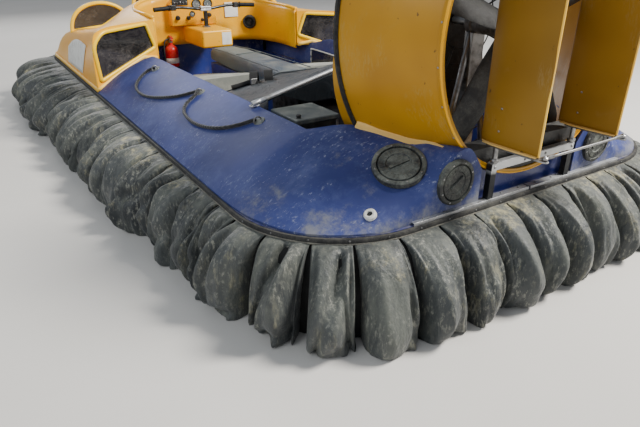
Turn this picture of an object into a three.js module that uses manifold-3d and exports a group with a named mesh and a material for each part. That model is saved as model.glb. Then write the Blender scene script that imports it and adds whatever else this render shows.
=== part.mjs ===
// A light hovercraft parked on its deflated skirt, in millimetres, +Z up.
// +X is the port side, -Y is the bow, and the floor is at z = 0 under the middle of the craft.
import * as THREE from 'three';
import { mergeVertices } from 'three/addons/utils/BufferGeometryUtils.js';
import Module from 'manifold-3d';

const wasm = await Module();
wasm.setup();

// Running gap between pieces that touch
const GAP = 0.3;

// Deck outline: straight sides, elliptical bow, rounded stern corners
const HALF_BEAM = 1060;
const BOW_START = -1720;
const BOW_DEPTH = 570;
const STERN_START = 2010;
const STERN_Y = 2440;
const STERN_CORNER_X = 620;

// Hull tray heights
const SKID_H = 40;
const TRAY_TOP = 328;
const DECK_TOP = 345;
const DECK_EDGE = 353;
const FLOOR_TOP = 150;
const KNEE_Z = 480;
const COWL_BACK = -124;
const COWL_SLANT = 0.45;
const COWL_WALL = 16;
const SKID_X = 450;
const COCKPIT_X = 640;
const COCKPIT_FRONT = -1080;
const ENGINE_BAY_BACK = 1950;

// Duct, fan and rudders
const DUCT_Z = 931;
const DUCT_FRONT = 2030;
const DUCT_BACK = 2410;
const DUCT_R_FRONT = 645;
const DUCT_R_BACK = 518;
const DUCT_MID_Y = 2220;
const DUCT_R_MID = 580;
const DUCT_WALL = 18;
const LIP_FRONT = 2004;
const LIP_R = 653;
const FAN_Y = 2270;
const FAN_R = 530;
const BLADES = 5;
const RUDDER_X = 225;
const RUDDER_PIVOT_Y = 2432;
const RUDDER_LEAD = 72;
const RUDDER_TRAIL = 178;
const RUDDER_LOW = 565;
const RUDDER_HIGH = 1335;
const HORN_REACH = 215;
const BEAM_TOP = 494;
const TOP_BAR_Z = 1372;

// Steering
const BAR_Y = -814;
const BAR_Z = 768;
const BAR_HALF = 425;
const STEER_BOX_TOP = 620;
const DASH_LOW = 470;

const SKIRT_FINGER = 185;
const SEAT_BASE_TOP = 395;
const BOX_TOP = 524;
const RIDGE_X = 712;
const RIDGE_Z = 563;
const HOOP_Y = 1484;
const HOOP_Z = 720;
const HOOP_R = 11;

function finish(color, roughness, metalness = 0) {
  return new THREE.MeshStandardMaterial({ color, roughness, metalness });
}
const yellowGrp = () => finish(0xe8a21c, 0.35);
const blueFabric = () => finish(0x35448c, 0.6);
const blueGrp = () => finish(0x1f2c66, 0.4);
const blackRubber = () => finish(0x2b2c2d, 0.85);
const blackPlastic = () => finish(0x161616, 0.5);
const greyVinyl = () => finish(0x55584f, 0.7);
const paleGrp = () => finish(0x9a9c94, 0.5);
const alloy = () => finish(0xb9bcc0, 0.35, 0.9);
const tinted = () => finish(0x2a2426, 0.1);
const redPaint = () => finish(0xb3161a, 0.3);

const group = new THREE.Group();

// Geometry helpers
function closed(geometry) {
  geometry.deleteAttribute('normal');
  geometry.deleteAttribute('uv');
  const merged = mergeVertices(geometry, 1e-4);
  const points = new Float32Array(merged.attributes.position.array);
  const faces = new Uint32Array(merged.index.array);
  let volume = 0;
  const corner = (i) => new THREE.Vector3(points[3 * i], points[3 * i + 1], points[3 * i + 2]);
  const kept = [];
  for (let i = 0; i < faces.length; i += 3) {
    const [a, b, c] = [faces[i], faces[i + 1], faces[i + 2]];
    if (a === b || b === c || c === a) continue;
    volume += corner(a).dot(corner(b).cross(corner(c)));
    kept.push(a, b, c);
  }
  if (volume < 0) {
    for (let i = 0; i < kept.length; i += 3) [kept[i + 1], kept[i + 2]] = [kept[i + 2], kept[i + 1]];
  }
  const mesh = new wasm.Mesh({ numProp: 3, vertProperties: points, triVerts: new Uint32Array(kept) });
  return new wasm.Manifold(mesh);
}

function faceted(body) {
  const mesh = body.getMesh();
  const geometry = new THREE.BufferGeometry();
  geometry.setAttribute('position', new THREE.BufferAttribute(new Float32Array(mesh.vertProperties), 3));
  geometry.setIndex(new THREE.BufferAttribute(new Uint32Array(mesh.triVerts), 1));
  return geometry;
}

function add(name, body, material) {
  const mesh = new THREE.Mesh(faceted(body), material);
  mesh.name = name;
  group.add(mesh);
}

function box(x0, x1, y0, y1, z0, z1) {
  const geometry = new THREE.BoxGeometry(x1 - x0, y1 - y0, z1 - z0);
  geometry.translate((x0 + x1) / 2, (y0 + y1) / 2, (z0 + z1) / 2);
  return closed(geometry);
}

// Upright prism over a plan outline given as [x, y] pairs
function prism(outline, z0, z1) {
  const shape = new THREE.Shape(outline.map(([x, y]) => new THREE.Vector2(x, y)));
  const geometry = new THREE.ExtrudeGeometry(shape, { depth: z1 - z0, bevelEnabled: false });
  geometry.translate(0, 0, z0);
  return closed(geometry);
}

// Solid through flat closed sections, each a list of [x, y, z] with equal counts
function loft(sections) {
  const count = sections[0].length;
  const points = sections.flat(2);
  const faces = [];
  for (let i = 0; i < sections.length - 1; i++) {
    for (let k = 0; k < count; k++) {
      const m = (k + 1) % count;
      faces.push(i * count + k, i * count + m, (i + 1) * count + k);
      faces.push(i * count + m, (i + 1) * count + m, (i + 1) * count + k);
    }
  }
  const last = (sections.length - 1) * count;
  for (const [a, b, c] of cap(sections[0])) faces.push(a, c, b);
  for (const [a, b, c] of cap(sections[sections.length - 1])) faces.push(last + a, last + b, last + c);
  const geometry = new THREE.BufferGeometry();
  geometry.setAttribute('position', new THREE.Float32BufferAttribute(points, 3));
  geometry.setIndex(faces);
  return closed(geometry);
}

// Triangles of a flat section, in the section's own turning sense
function cap(section) {
  const normal = new THREE.Vector3();
  section.forEach((p, i) => {
    const q = section[(i + 1) % section.length];
    normal.x += (p[1] - q[1]) * (p[2] + q[2]);
    normal.y += (p[2] - q[2]) * (p[0] + q[0]);
    normal.z += (p[0] - q[0]) * (p[1] + q[1]);
  });
  normal.normalize();
  const side = Math.abs(normal.z) < 0.9 ? new THREE.Vector3(0, 0, 1) : new THREE.Vector3(1, 0, 0);
  const u = side.clone().cross(normal).normalize();
  const v = normal.clone().cross(u);
  const flat = section.map((p) => {
    const w = new THREE.Vector3(...p);
    return new THREE.Vector2(w.dot(u), w.dot(v));
  });
  return THREE.ShapeUtils.triangulateShape(flat, []);
}

// Turned body around the duct's fore-and-aft axis; the profile closes on itself, as [radius, y]
function turned(profile, segments = 48) {
  const loop = [...profile, profile[0]].map(([r, y]) => new THREE.Vector2(r, y));
  const geometry = new THREE.LatheGeometry(loop, segments);
  geometry.rotateY(Math.PI / segments);
  geometry.translate(0, 0, DUCT_Z);
  return closed(geometry);
}

// Round bar along a path of [x, y, z] points; two points make it straight
function bar(path, radius, sides = 8, steps = 1, tension = 0.5) {
  const points = path.map((p) => new THREE.Vector3(...p));
  let route = new THREE.LineCurve3(...points);
  if (points.length > 2) route = new THREE.CatmullRomCurve3(points, false, 'catmullrom', tension);
  const round = new THREE.Shape();
  for (let k = 0; k < sides; k++) {
    const angle = (2 * Math.PI * k) / sides;
    const [x, y] = [radius * Math.cos(angle), radius * Math.sin(angle)];
    if (k === 0) round.moveTo(x, y);
    else round.lineTo(x, y);
  }
  return closed(new THREE.ExtrudeGeometry(round, { steps, extrudePath: route, bevelEnabled: false }));
}

// Cylinder with its centre at a point, upright or along y
function cylinder(radius, length, centre, axis = 'z', sides = 24, topRadius = radius) {
  const geometry = new THREE.CylinderGeometry(topRadius, radius, length, sides);
  if (axis === 'z') geometry.rotateX(Math.PI / 2);
  geometry.translate(...centre);
  return closed(geometry);
}

const joined = (...bodies) => bodies.reduce((sum, body) => sum.add(body));

// Deck outline points, port side first, from the bow corner aft and round
function rimLine(inset = 0, arcSteps = 10) {
  const line = [];
  const arc = (cx, cy, a, b, from, to, steps) => {
    for (let i = 0; i <= steps; i++) {
      const t = THREE.MathUtils.degToRad(from + ((to - from) * i) / steps);
      line.push([cx + a * Math.cos(t), cy + b * Math.sin(t)]);
    }
  };
  const cornerA = HALF_BEAM - STERN_CORNER_X - inset;
  const cornerB = STERN_Y - STERN_START - inset;
  arc(STERN_CORNER_X, STERN_START, cornerA, cornerB, 0, 90, arcSteps);
  arc(-STERN_CORNER_X, STERN_START, cornerA, cornerB, 90, 180, arcSteps);
  arc(0, BOW_START, HALF_BEAM - inset, BOW_DEPTH - inset, 180, 360, 2 * arcSteps);
  return line;
}

// Bow half width at a station forward of the straight sides
function bowHalf(y) {
  if (y > BOW_START) return HALF_BEAM;
  return HALF_BEAM * Math.sqrt(Math.max(0, 1 - ((BOW_START - y) / BOW_DEPTH) ** 2));
}

// Value at y from rows of [y, value]
function along(rows, y) {
  if (y <= rows[0][0]) return rows[0][1];
  for (let i = 1; i < rows.length; i++) {
    const [y0, a] = rows[i - 1];
    const [y1, b] = rows[i];
    if (y <= y1) return a + ((b - a) * (y - y0)) / (y1 - y0);
  }
  return rows[rows.length - 1][1];
}

// Outer wall of the duct and its inlet lip, grown outwards by a clearance
function ductSolid(grow) {
  return turned([
    [1, LIP_FRONT - 5],
    [LIP_R + grow, LIP_FRONT - 5],
    [LIP_R + grow, LIP_FRONT + 14],
    [DUCT_R_FRONT + 10 + grow, DUCT_FRONT + 6],
    [DUCT_R_FRONT + grow, DUCT_FRONT + 12],
    [DUCT_R_BACK + grow, DUCT_BACK + grow],
    [1, DUCT_BACK + grow],
  ]);
}

// Hull tray with deck flange, landing skids, open cockpit and engine bay, front wall and stern coaming
function hullTray() {
  const lower = prism(rimLine(240), SKID_H, TRAY_TOP + 1);
  const deck = prism(rimLine(2), TRAY_TOP, DECK_TOP);
  const pit = box(-COCKPIT_X, COCKPIT_X, COCKPIT_FRONT, ENGINE_BAY_BACK, FLOOR_TOP, DECK_TOP + 50);
  const skid = (x) => box(x - 45, x + 45, -1700, 1900, 0, SKID_H + 5);
  const wall = [COCKPIT_FRONT - 5, COCKPIT_FRONT + 20];
  const front = box(-COCKPIT_X, COCKPIT_X, ...wall, FLOOR_TOP - 5, DASH_LOW - GAP);
  const stern = box(-276, 276, 2372, 2386, DECK_TOP - 5, 476).subtract(ductSolid(GAP));
  return joined(lower, deck).subtract(pit).add(joined(skid(SKID_X), skid(-SKID_X), front, stern));
}

// Sloping blue side body: one row a station, outer edge, ridge and inner edge
const SIDE_ROWS = [
  // edge x, edge y, ridge x, ridge y, ridge z, inner x, inner y, bulge
  [HALF_BEAM, COCKPIT_FRONT + 24, 690, COCKPIT_FRONT + 24, 505, 665, COCKPIT_FRONT + 24, 8],
  [HALF_BEAM, -300, 690, -300, 512, 665, -300, 8],
  [HALF_BEAM, 0, RIDGE_X, 0, RIDGE_Z, 665, 0, 22],
  [HALF_BEAM, 1900, RIDGE_X, 1900, RIDGE_Z, 665, 1900, 22],
  [1046, 2072, 610, 1990, 586, 560, 1975, 14],
  [985, 2244, 545, 2070, 586, 480, 2050, 12],
  [884, 2350, 485, 2175, 576, 420, 2150, 10],
  [740, 2419, 435, 2280, 565, 350, 2270, 9],
  [612, 2426, 400, 2426, 575, 277, 2426, 10],
];

function sideSection([ex, ey, rx, ry, rz, ix, iy, bulge], side) {
  const at = (t, lift) => [ex + (rx - ex) * t, ey + (ry - ey) * t, DECK_EDGE + (rz - DECK_EDGE) * t + lift];
  const inner = (t, z) => [rx + (ix - rx) * t, ry + (iy - ry) * t, z];
  const points = [
    [ex, ey, DECK_TOP + GAP],
    at(0, 0),
    at(0.25, bulge * 0.75),
    at(0.5, bulge),
    at(0.75, bulge * 0.75),
    at(1, 0),
    inner(0.45, rz - 6),
    inner(1, KNEE_Z),
    [ix, iy, DECK_TOP + GAP],
  ];
  return points.map(([x, y, z]) => [side * x, y, z]);
}

function sideBody(side) {
  const whole = loft(SIDE_ROWS.map((row) => sideSection(row, side)));
  return whole.subtract(ductSolid(1.5));
}

// Nose cowl: one row a station, half sections from the deck edge to the centre line
const COWL_ROWS = [
  // y, shoulder x, shoulder z, pod x, pod z, hump x, hump z, centre z
  [COWL_BACK, 1045, 640, 965, 737, 620, 753, 776],
  [-590, 1005, 632, 860, 705, 600, 778, 860],
  [-990, 985, 612, 780, 662, 560, 795, 925],
  [-1290, 965, 598, 712, 622, 500, 745, 865],
  [-1720, 945, 535, 660, 560, 420, 660, 745],
  [-1990, 815, 475, 560, 500, 340, 570, 622],
  [-2190, 520, 418, 360, 442, 220, 482, 502],
  [-2262, 300, 385, 210, 396, 120, 412, 420],
];

// The cheeks' back faces slant forward towards the cockpit
function cowlBackY(x) {
  return COWL_BACK - COWL_SLANT * (1050 - Math.min(1050, Math.max(577, Math.abs(x))));
}

function cowlSection([y, sx, sz, px, pz, hx, hz, cz], inset, floorZ) {
  const isBack = y > -300;
  const foot = bowHalf(y) - 4 - inset;
  const half = [
    [foot, floorZ],
    [foot, DECK_EDGE],
    [Math.min(sx, foot) - inset * 0.4, sz - inset * 0.8],
    [px - inset * 0.3, pz - inset],
    [hx - inset * 0.6, hz - inset],
    [hx * 0.45, (hz + 2 * cz) / 3 - inset],
  ];
  const at = (x, z) => [x, isBack ? y + cowlBackY(x) - COWL_BACK : y, z];
  const port = half.map(([x, z]) => at(x, z));
  const starboard = half.map(([x, z]) => at(-x, z)).reverse();
  return [...port, at(0, cz - inset), ...starboard];
}

// The whole nose as a solid, or its hollow when inset by the wall
function cowlSolid(inset, floorZ) {
  const rows = inset > 0 ? COWL_ROWS.slice(0, -1) : COWL_ROWS;
  return loft(rows.map((row, i) => {
    const moved = [...row];
    if (i === 0) moved[0] -= inset;
    return cowlSection(moved, inset, floorZ);
  }));
}

// Cockpit recess in plan, from the port cheek round to the starboard cheek
const RECESS = [[577, -299], [590, -690], [530, -920], [410, -1005], [280, -1030]];

function recessLine(offset) {
  const half = RECESS.map(([x, y], i) => [x + (i < 3 ? offset : offset * 0.5), y - (i < 2 ? 0 : offset)]);
  const mirrored = half.map(([x, y]) => [-x, y]).reverse();
  return [...half, ...mirrored];
}

function recessPrism(offset, z0, z1, back = 40) {
  const line = recessLine(offset);
  const start = line[0];
  return prism([[start[0], back], ...line, [-start[0], back]], z0, z1);
}

const WINDOW = [[1016, 426], [1030, 640], [964, 708], [652, 729], [600, 574]];

// The window's outline pushed along Y from a distance before the cheek's back face to another
function windowPrism(side, grow, from, to) {
  const centre = [850, 610];
  const shape = WINDOW.map(([x, z]) => {
    const [dx, dz] = [x - centre[0], z - centre[1]];
    const reach = Math.hypot(dx, dz);
    return [side * (x + (dx / reach) * grow), z + (dz / reach) * grow];
  });
  const near = shape.map(([x, z]) => [x, cowlBackY(x) + from, z]);
  const far = shape.map(([x, z]) => [x, cowlBackY(x) + to, z]);
  return loft([near, far]);
}

function noseCowl() {
  const hollow = cowlSolid(COWL_WALL, 200);
  let shell = cowlSolid(0, DECK_TOP + GAP).subtract(hollow);
  for (const screen of SCREENS) shell = shell.add(screenFrame(screen).subtract(hollow));
  shell = shell.subtract(recessPrism(0, 100, 1200));
  shell = shell.subtract(box(-664, 664, -345, 60, 300, 490));
  for (const side of [1, -1]) {
    shell = shell.subtract(loft(SIDE_ROWS.slice(0, 4).map((row) => raisedSide(row, side))));
    shell = shell.subtract(windowPrism(side, 0, -60, 60));
  }
  return shell;
}

// The side body with a hair of clearance, for what sits over it
function raisedSide(row, side) {
  const section = sideSection(row, side);
  return section.map(([x, y, z], i) => {
    if (i === 0 || i === 8) return [i === 0 ? x + side * 30 : x - side * 2, y, DECK_TOP - 20];
    if (i === 1) return [x + side * 30, y, z - 12];
    if (i === 7) return [x - side * 2, y, z];
    return [x, y, z + 0.5];
  });
}

function dashboard() {
  const outer = recessPrism(16, DASH_LOW, 1200, COWL_BACK - COWL_WALL);
  const inner = recessPrism(0, 460, 1210, 60);
  let wall = outer.subtract(inner).intersect(cowlSolid(COWL_WALL + GAP, 200));
  for (const side of [1, -1]) {
    wall = wall.subtract(loft(SIDE_ROWS.slice(0, 4).map((row) => raisedSide(row, side))));
  }
  return wall;
}

// Arched screens standing on the cowl
const SCREENS = [
  // name, centre x, half width, foot y, foot z, rise
  ['port', 720, 250, -1290, 566, 250],
  ['starboard', -720, 250, -1290, 566, 250],
  ['centre', 0, 450, -1330, 690, 330],
];
const SCREEN_RIM = 22;

function archLine(half, rise, steps = 12) {
  const line = [];
  for (let i = 0; i <= steps; i++) {
    const t = (Math.PI * i) / steps;
    line.push([half * Math.cos(t), rise * Math.sin(t) ** 0.75]);
  }
  return line;
}

function archPlate(cx, half, y0, y1, z0, rise, inset) {
  const line = archLine(half - inset, rise - inset);
  const near = line.map(([x, z]) => [cx + x, y0, z0 + z]);
  const far = line.map(([x, z]) => [cx + x, y1, z0 + z]);
  return loft([near, far]);
}

function screenFrame([, cx, half, y, z, rise]) {
  const outer = archPlate(cx, half, y - 14, y + 14, z, rise, 0);
  return outer.subtract(archPlate(cx, half, y - 20, y + 20, z, rise, SCREEN_RIM));
}

function screenPane([, cx, half, y, z, rise]) {
  const pane = archPlate(cx, half, y - 3, y + 3, z, rise, SCREEN_RIM + GAP);
  return pane.subtract(cowlSolid(-GAP, DECK_TOP - 40));
}

// Skirt foot spread from the deck edge, by station
const SPREAD = [
  // y, spread
  [-2290, 415.2],
  [-1200, 445],
  [40, 330],
  [1180, 290],
  [1960, 150],
  [2250, 175],
  [2440, 260],
];

const RIM = rimLine(0, 40);
RIM.push(RIM[0]);
const RIM_MARKS = [0];
for (let i = 1; i < RIM.length; i++) {
  RIM_MARKS.push(RIM_MARKS[i - 1] + Math.hypot(RIM[i][0] - RIM[i - 1][0], RIM[i][1] - RIM[i - 1][1]));
}
const RIM_LENGTH = RIM_MARKS[RIM_MARKS.length - 1];

// Distance round the rim to the point nearest to x, y
function rimMark(x, y) {
  const reach = RIM.map(([px, py]) => Math.hypot(px - x, py - y));
  return RIM_MARKS[reach.indexOf(Math.min(...reach))];
}

function rimPoint(distance) {
  const d = ((distance % RIM_LENGTH) + RIM_LENGTH) % RIM_LENGTH;
  const i = Math.max(1, RIM_MARKS.findIndex((mark) => mark > d));
  const t = (d - RIM_MARKS[i - 1]) / (RIM_MARKS[i] - RIM_MARKS[i - 1]);
  const [ax, ay] = RIM[i - 1];
  const [bx, by] = RIM[i];
  return [ax + (bx - ax) * t, ay + (by - ay) * t];
}

// Place and outward direction at a distance round the rim
function rimPlace(distance) {
  const [x, y] = rimPoint(distance);
  const [ax, ay] = rimPoint(distance - 40);
  const [bx, by] = rimPoint(distance + 40);
  const length = Math.hypot(bx - ax, by - ay);
  return { x, y, nx: (by - ay) / length, ny: (ax - bx) / length };
}

// One run of the skirt, as a bulging wall with a shallow lobe for each finger
const LOBE = [0.86, 0.97, 1, 0.97];

function skirtPart(from, to) {
  const fingers = Math.round((to - from) / SKIRT_FINGER);
  const steps = fingers * LOBE.length;
  const sections = [];
  for (let i = 0; i <= steps; i++) {
    const { x, y, nx, ny } = rimPlace(from + 1 + ((to - from - 2) * i) / steps);
    const spread = along(SPREAD, y) * LOBE[i % LOBE.length];
    const rows = [
      // outward from the rim, height
      [-60, TRAY_TOP - GAP],
      [20, TRAY_TOP - GAP],
      [spread * 0.6, 285],
      [spread * 0.92, 190],
      [spread, 90],
      [spread * 0.97, 15],
      [spread * 0.85, 0],
      [-90, 0],
      [-110, 60],
    ];
    sections.push(rows.map(([out, z]) => [x + nx * out, y + ny * out, z]));
  }
  return loft(sections);
}

// Rubbing strip round the deck edge
function edgeStrip() {
  const outer = prism(rimLine(-18, 20), TRAY_TOP + GAP, DECK_EDGE + 4);
  return outer.subtract(prism(rimLine(-0.5, 20), TRAY_TOP - 10, DECK_EDGE + 20));
}

function ductShell() {
  const wall = turned([
    [DUCT_R_FRONT, DUCT_FRONT + GAP],
    [DUCT_R_MID, DUCT_MID_Y],
    [DUCT_R_BACK - 4, DUCT_BACK - 24],
    [DUCT_R_BACK, DUCT_BACK - 20],
    [DUCT_R_BACK, DUCT_BACK],
    [DUCT_R_BACK - DUCT_WALL, DUCT_BACK],
    [DUCT_R_MID - DUCT_WALL, DUCT_MID_Y],
    [DUCT_R_FRONT - DUCT_WALL, DUCT_FRONT + GAP],
  ], 64);
  return wall.intersect(box(-900, 900, 1900, 2500, DECK_TOP + GAP, 1700));
}

function ductLip() {
  const ring = turned([
    [LIP_R, DUCT_FRONT],
    [LIP_R - 2, DUCT_FRONT - 13],
    [LIP_R - 8, LIP_FRONT + 4],
    [LIP_R - 16, LIP_FRONT],
    [LIP_R - 22, LIP_FRONT],
    [DUCT_R_FRONT - DUCT_WALL, LIP_FRONT + 8],
    [DUCT_R_FRONT - DUCT_WALL, DUCT_FRONT],
  ], 64);
  return ring.intersect(box(-900, 900, 1900, 2500, DECK_TOP + GAP, 1700));
}

function fanGuard() {
  const y = LIP_FRONT - GAP;
  const bodies = [];
  for (const radius of [110, 240, 370, 500, 630]) {
    const [inner, outer] = [radius - 4, radius + 4];
    bodies.push(turned([[inner, y - 12], [outer, y - 12], [outer, y - 4], [inner, y - 4]], 24));
  }
  for (let i = 0; i < 8; i++) {
    const spoke = new THREE.BoxGeometry(LIP_R - 126, 10, 10);
    spoke.translate((LIP_R + 86) / 2, y - 5, 0);
    spoke.rotateY((2 * Math.PI * (i + 0.5)) / 8);
    spoke.translate(0, 0, DUCT_Z);
    bodies.push(closed(spoke));
  }
  return joined(...bodies).intersect(box(-900, 900, 1900, 2500, DECK_TOP + GAP, 1700));
}

// Fan blade stations, and the blade's section as parts of the chord and of the thickness
const BLADE_ROWS = [
  // radius, chord, pitch in degrees, thickness
  [60, 105, 48, 20],
  [200, 112, 36, 15],
  [360, 105, 27, 11],
  [FAN_R, 84, 22, 8],
];
const BLADE_FOIL = [[-0.5, 0], [-0.25, 0.5], [0.15, 0.45], [0.5, 0.06], [0.15, -0.35], [-0.25, -0.4]];

function fan() {
  const bodies = [cylinder(85, 84, [0, FAN_Y, DUCT_Z], 'y', 32)];
  bodies.push(cylinder(17, FAN_Y - 1950, [0, (FAN_Y + 1950) / 2, DUCT_Z], 'y', 16));
  bodies.push(cylinder(60, 30, [0, FAN_Y + 56, DUCT_Z], 'y', 24, 30));
  for (let i = 0; i < BLADES; i++) {
    const sections = BLADE_ROWS.map(([r, chord, pitch, thick]) => {
      const t = THREE.MathUtils.degToRad(pitch);
      return BLADE_FOIL.map(([c, h]) => {
        const across = c * chord;
        const lift = h * thick;
        const [u, v] = [across * Math.cos(t) - lift * Math.sin(t), across * Math.sin(t) + lift * Math.cos(t)];
        return [r, v, u];
      });
    });
    const blade = faceted(loft(sections));
    blade.rotateY((2 * Math.PI * i) / BLADES);
    blade.translate(0, FAN_Y, DUCT_Z);
    bodies.push(closed(blade));
  }
  return joined(...bodies);
}

function fanPylon() {
  const housing = cylinder(46, 170, [0, 2128, DUCT_Z], 'y', 24);
  const post = box(-35, 35, 2045, 2090, DECK_TOP + GAP, DUCT_Z);
  const brace = (side) => bar([[side * 130, 2067, DECK_TOP + 8], [side * 20, 2067, DUCT_Z - 20]], 13);
  const foot = box(-150, 150, 2045, 2090, DECK_TOP + GAP, DECK_TOP + 12);
  const bore = cylinder(17.8, 300, [0, 2128, DUCT_Z], 'y', 16);
  return joined(housing, post, brace(1), brace(-1), foot).subtract(bore);
}

function splitter() {
  const inside = turned([[1, DUCT_MID_Y], [DUCT_R_MID - DUCT_WALL - GAP, DUCT_MID_Y],
    [DUCT_R_BACK - DUCT_WALL - GAP, DUCT_BACK], [1, DUCT_BACK]], 64);
  const shelf = box(-600, 600, 2325, 2402, 540, 548);
  const face = box(-600, 600, 2394, 2402, 400, 545);
  return joined(shelf, face).intersect(inside);
}

function rudder(side) {
  const x0 = side * RUDDER_X;
  const foil = [
    // distance aft of the pivot, half thickness
    [-RUDDER_LEAD, 0],
    [-RUDDER_LEAD + 10, 9],
    [-20, 16],
    [50, 13],
    [RUDDER_TRAIL - 8, 3],
    [RUDDER_TRAIL, 2.5],
  ];
  const port = foil.map(([y, t]) => [x0 + t, RUDDER_PIVOT_Y + y]);
  const back = foil.slice(1).map(([y, t]) => [x0 - t, RUDDER_PIVOT_Y + y]).reverse();
  const blade = prism([...port, ...back], RUDDER_LOW, RUDDER_HIGH);
  const [hornFront, hornBack] = [RUDDER_PIVOT_Y - 30, RUDDER_PIVOT_Y + HORN_REACH];
  const horn = box(x0 - 22, x0 + 22, hornFront, hornBack, RUDDER_LOW - 6, RUDDER_LOW + 2);
  const post = (z0, z1) => cylinder(9, z1 - z0, [x0, RUDDER_PIVOT_Y, (z0 + z1) / 2], 'z', 12);
  const lower = post(BEAM_TOP + GAP, RUDDER_LOW + 20);
  const upper = post(RUDDER_HIGH - 30, TOP_BAR_Z - GAP);
  return joined(blade, horn, lower, upper);
}

function tieRod() {
  const y = RUDDER_PIVOT_Y + HORN_REACH - 15;
  const z = RUDDER_LOW + 2 + GAP;
  const rod = bar([[-RUDDER_X, y, z + 6], [RUDDER_X, y, z + 6]], 5);
  const eyes = [1, -1].map((side) => cylinder(11, 12, [side * RUDDER_X, y, z + 6], 'z', 12));
  return joined(rod, ...eyes);
}

// Half of the handlebar's route, from the port end to the clamp; the rest mirrors it
const BAR_ROUTE = [[BAR_HALF - 5, 26, 8], [300, 7, 13], [200, -3, 12], [110, -5, 2], [60, 0, -4]];

function barTube(radius) {
  const half = BAR_ROUTE.map(([x, y, z]) => [x, BAR_Y + y, BAR_Z + z]);
  const mirrored = half.map(([x, y, z]) => [-x, y, z]).reverse();
  return bar([...half, ...mirrored], radius, 10, 22, 0.3);
}

function handlebar() {
  const stemFoot = STEER_BOX_TOP + GAP;
  const stem = cylinder(17, BAR_Z - stemFoot, [0, BAR_Y, (BAR_Z + stemFoot) / 2], 'z', 16);
  const clamp = box(-45, 45, BAR_Y - 24, BAR_Y + 24, BAR_Z - 22, BAR_Z + 18);
  return joined(barTube(11), stem, clamp);
}

function grip(side) {
  const from = [side * 300, BAR_Y + 7, BAR_Z + 13];
  const sleeve = bar([from, [side * (BAR_HALF + 4), BAR_Y + 26.6, BAR_Z + 7.8]], 17, 12);
  const flange = bar([from, [side * 306, BAR_Y + 7.9, BAR_Z + 12.7]], 24, 12);
  return joined(sleeve, flange).subtract(barTube(11.6));
}

// Round hatch standing on a face with the given outward direction; sunk reaches below that face
function hatch(centre, normal, radius, thick, sunk = 0) {
  const geometry = new THREE.CylinderGeometry(radius - 4, radius, thick + sunk, 32);
  geometry.translate(0, (thick - sunk) / 2, 0);
  const turn = new THREE.Quaternion();
  turn.setFromUnitVectors(new THREE.Vector3(0, 1, 0), normal.clone().normalize());
  geometry.applyQuaternion(turn);
  geometry.translate(...centre);
  return closed(geometry);
}

// One grab rope a side, lying on the slope in two loops held at three anchors, as [x, y] in plan
const ROPE_R = 8;
const ROPE = [
  [785, 270], [818, 240], [875, 262], [925, 330], [945, 450], [938, 600],
  [905, 750], [858, 880], [812, 950], [783, 990], [812, 1012], [868, 1030],
  [908, 1100], [922, 1250], [908, 1390], [878, 1495], [830, 1572], [775, 1622],
];

// Height of the side slope at a distance out from the centre line
function slopeHeight(x) {
  const [ex, , rx, , rz, , , bulge] = SIDE_ROWS[3];
  const t = THREE.MathUtils.clamp((ex - x) / (ex - rx), 0, 1);
  const lift = along([[0, 0], [0.25, 0.75], [0.5, 1], [0.75, 0.75], [1, 0]], t) * bulge;
  return DECK_EDGE + (rz - DECK_EDGE) * t + lift;
}

function rope(side) {
  const lift = ROPE_R / Math.cos(Math.atan2(210, 348)) + 1.5;
  return bar(ROPE.map(([x, y]) => [side * x, y, slopeHeight(x) + lift]), ROPE_R, 8, 52);
}

// Bent bar across the cockpit, standing on the ridges of the side bodies
function coverHoop() {
  const bodies = [bar([[-120, HOOP_Y, HOOP_Z], [120, HOOP_Y, HOOP_Z]], HOOP_R, 12)];
  for (const side of [1, -1]) {
    const bend = [side * 120, HOOP_Y, HOOP_Z];
    const footX = side * RIDGE_X;
    bodies.push(bar([[footX, HOOP_Y, RIDGE_Z + 13], bend], HOOP_R, 12));
    bodies.push(cylinder(HOOP_R, 2 * HOOP_R, bend, 'y', 12));
    bodies.push(box(footX - 22, footX + 22, HOOP_Y - 12, HOOP_Y + 12, RIDGE_Z + GAP, RIDGE_Z + 7));
  }
  return joined(...bodies);
}

// Fabric engine cover hung below the hoop, its low edge on the deck beside the cockpit
const COVER_ROWS = [
  // y, edge z, middle z
  [664, 400, 500],
  [900, 440, 560],
  [1200, 492, 642],
  [HOOP_Y + HOOP_R, 580.8, 706.8],
];
const COVER_HALF = 654;
const COVER_WALL = 12;

function engineCover() {
  const section = (y, edge, middle, inset, low) => {
    const half = COVER_HALF - inset;
    const port = [[half, low], [half, edge - inset], [half * 0.2, middle - inset]];
    const starboard = port.map(([x, z]) => [-x, z]).reverse();
    return [...port, ...starboard].map(([x, z]) => [x, y, z]);
  };
  const outer = loft(COVER_ROWS.map(([y, edge, middle]) => section(y, edge, middle, 0, DECK_TOP + GAP)));
  const within = COVER_ROWS.map((row) => [...row]);
  within[0][0] += COVER_WALL;
  within[within.length - 1][0] -= COVER_WALL;
  return outer.subtract(loft(within.map(([y, edge, middle]) => section(y, edge, middle, COVER_WALL, 300))));
}

function seatCushion() {
  // Cushion stations: y, half width, top height
  const stations = [[-530, 112, 478], [-500, 120, 500], [600, 132, 506], [640, 126, 496]];
  return loft(stations.map(([y, half, top]) => {
    const port = [
      [half, SEAT_BASE_TOP + GAP],
      [half + 6, top - 45],
      [half - 14, top - 8],
      [half - 40, top],
    ];
    const starboard = port.map(([x, z]) => [-x, z]).reverse();
    return [...port, ...starboard].map(([x, z]) => [x, y, z]);
  }));
}

function footboard(side) {
  const line = [[-540, FLOOR_TOP + GAP], [-540, 305], [300, 452], [340, 452], [340, FLOOR_TOP + GAP]];
  return loft([142, 630].map((x) => line.map(([y, z]) => [side * x, y, z])));
}

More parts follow.
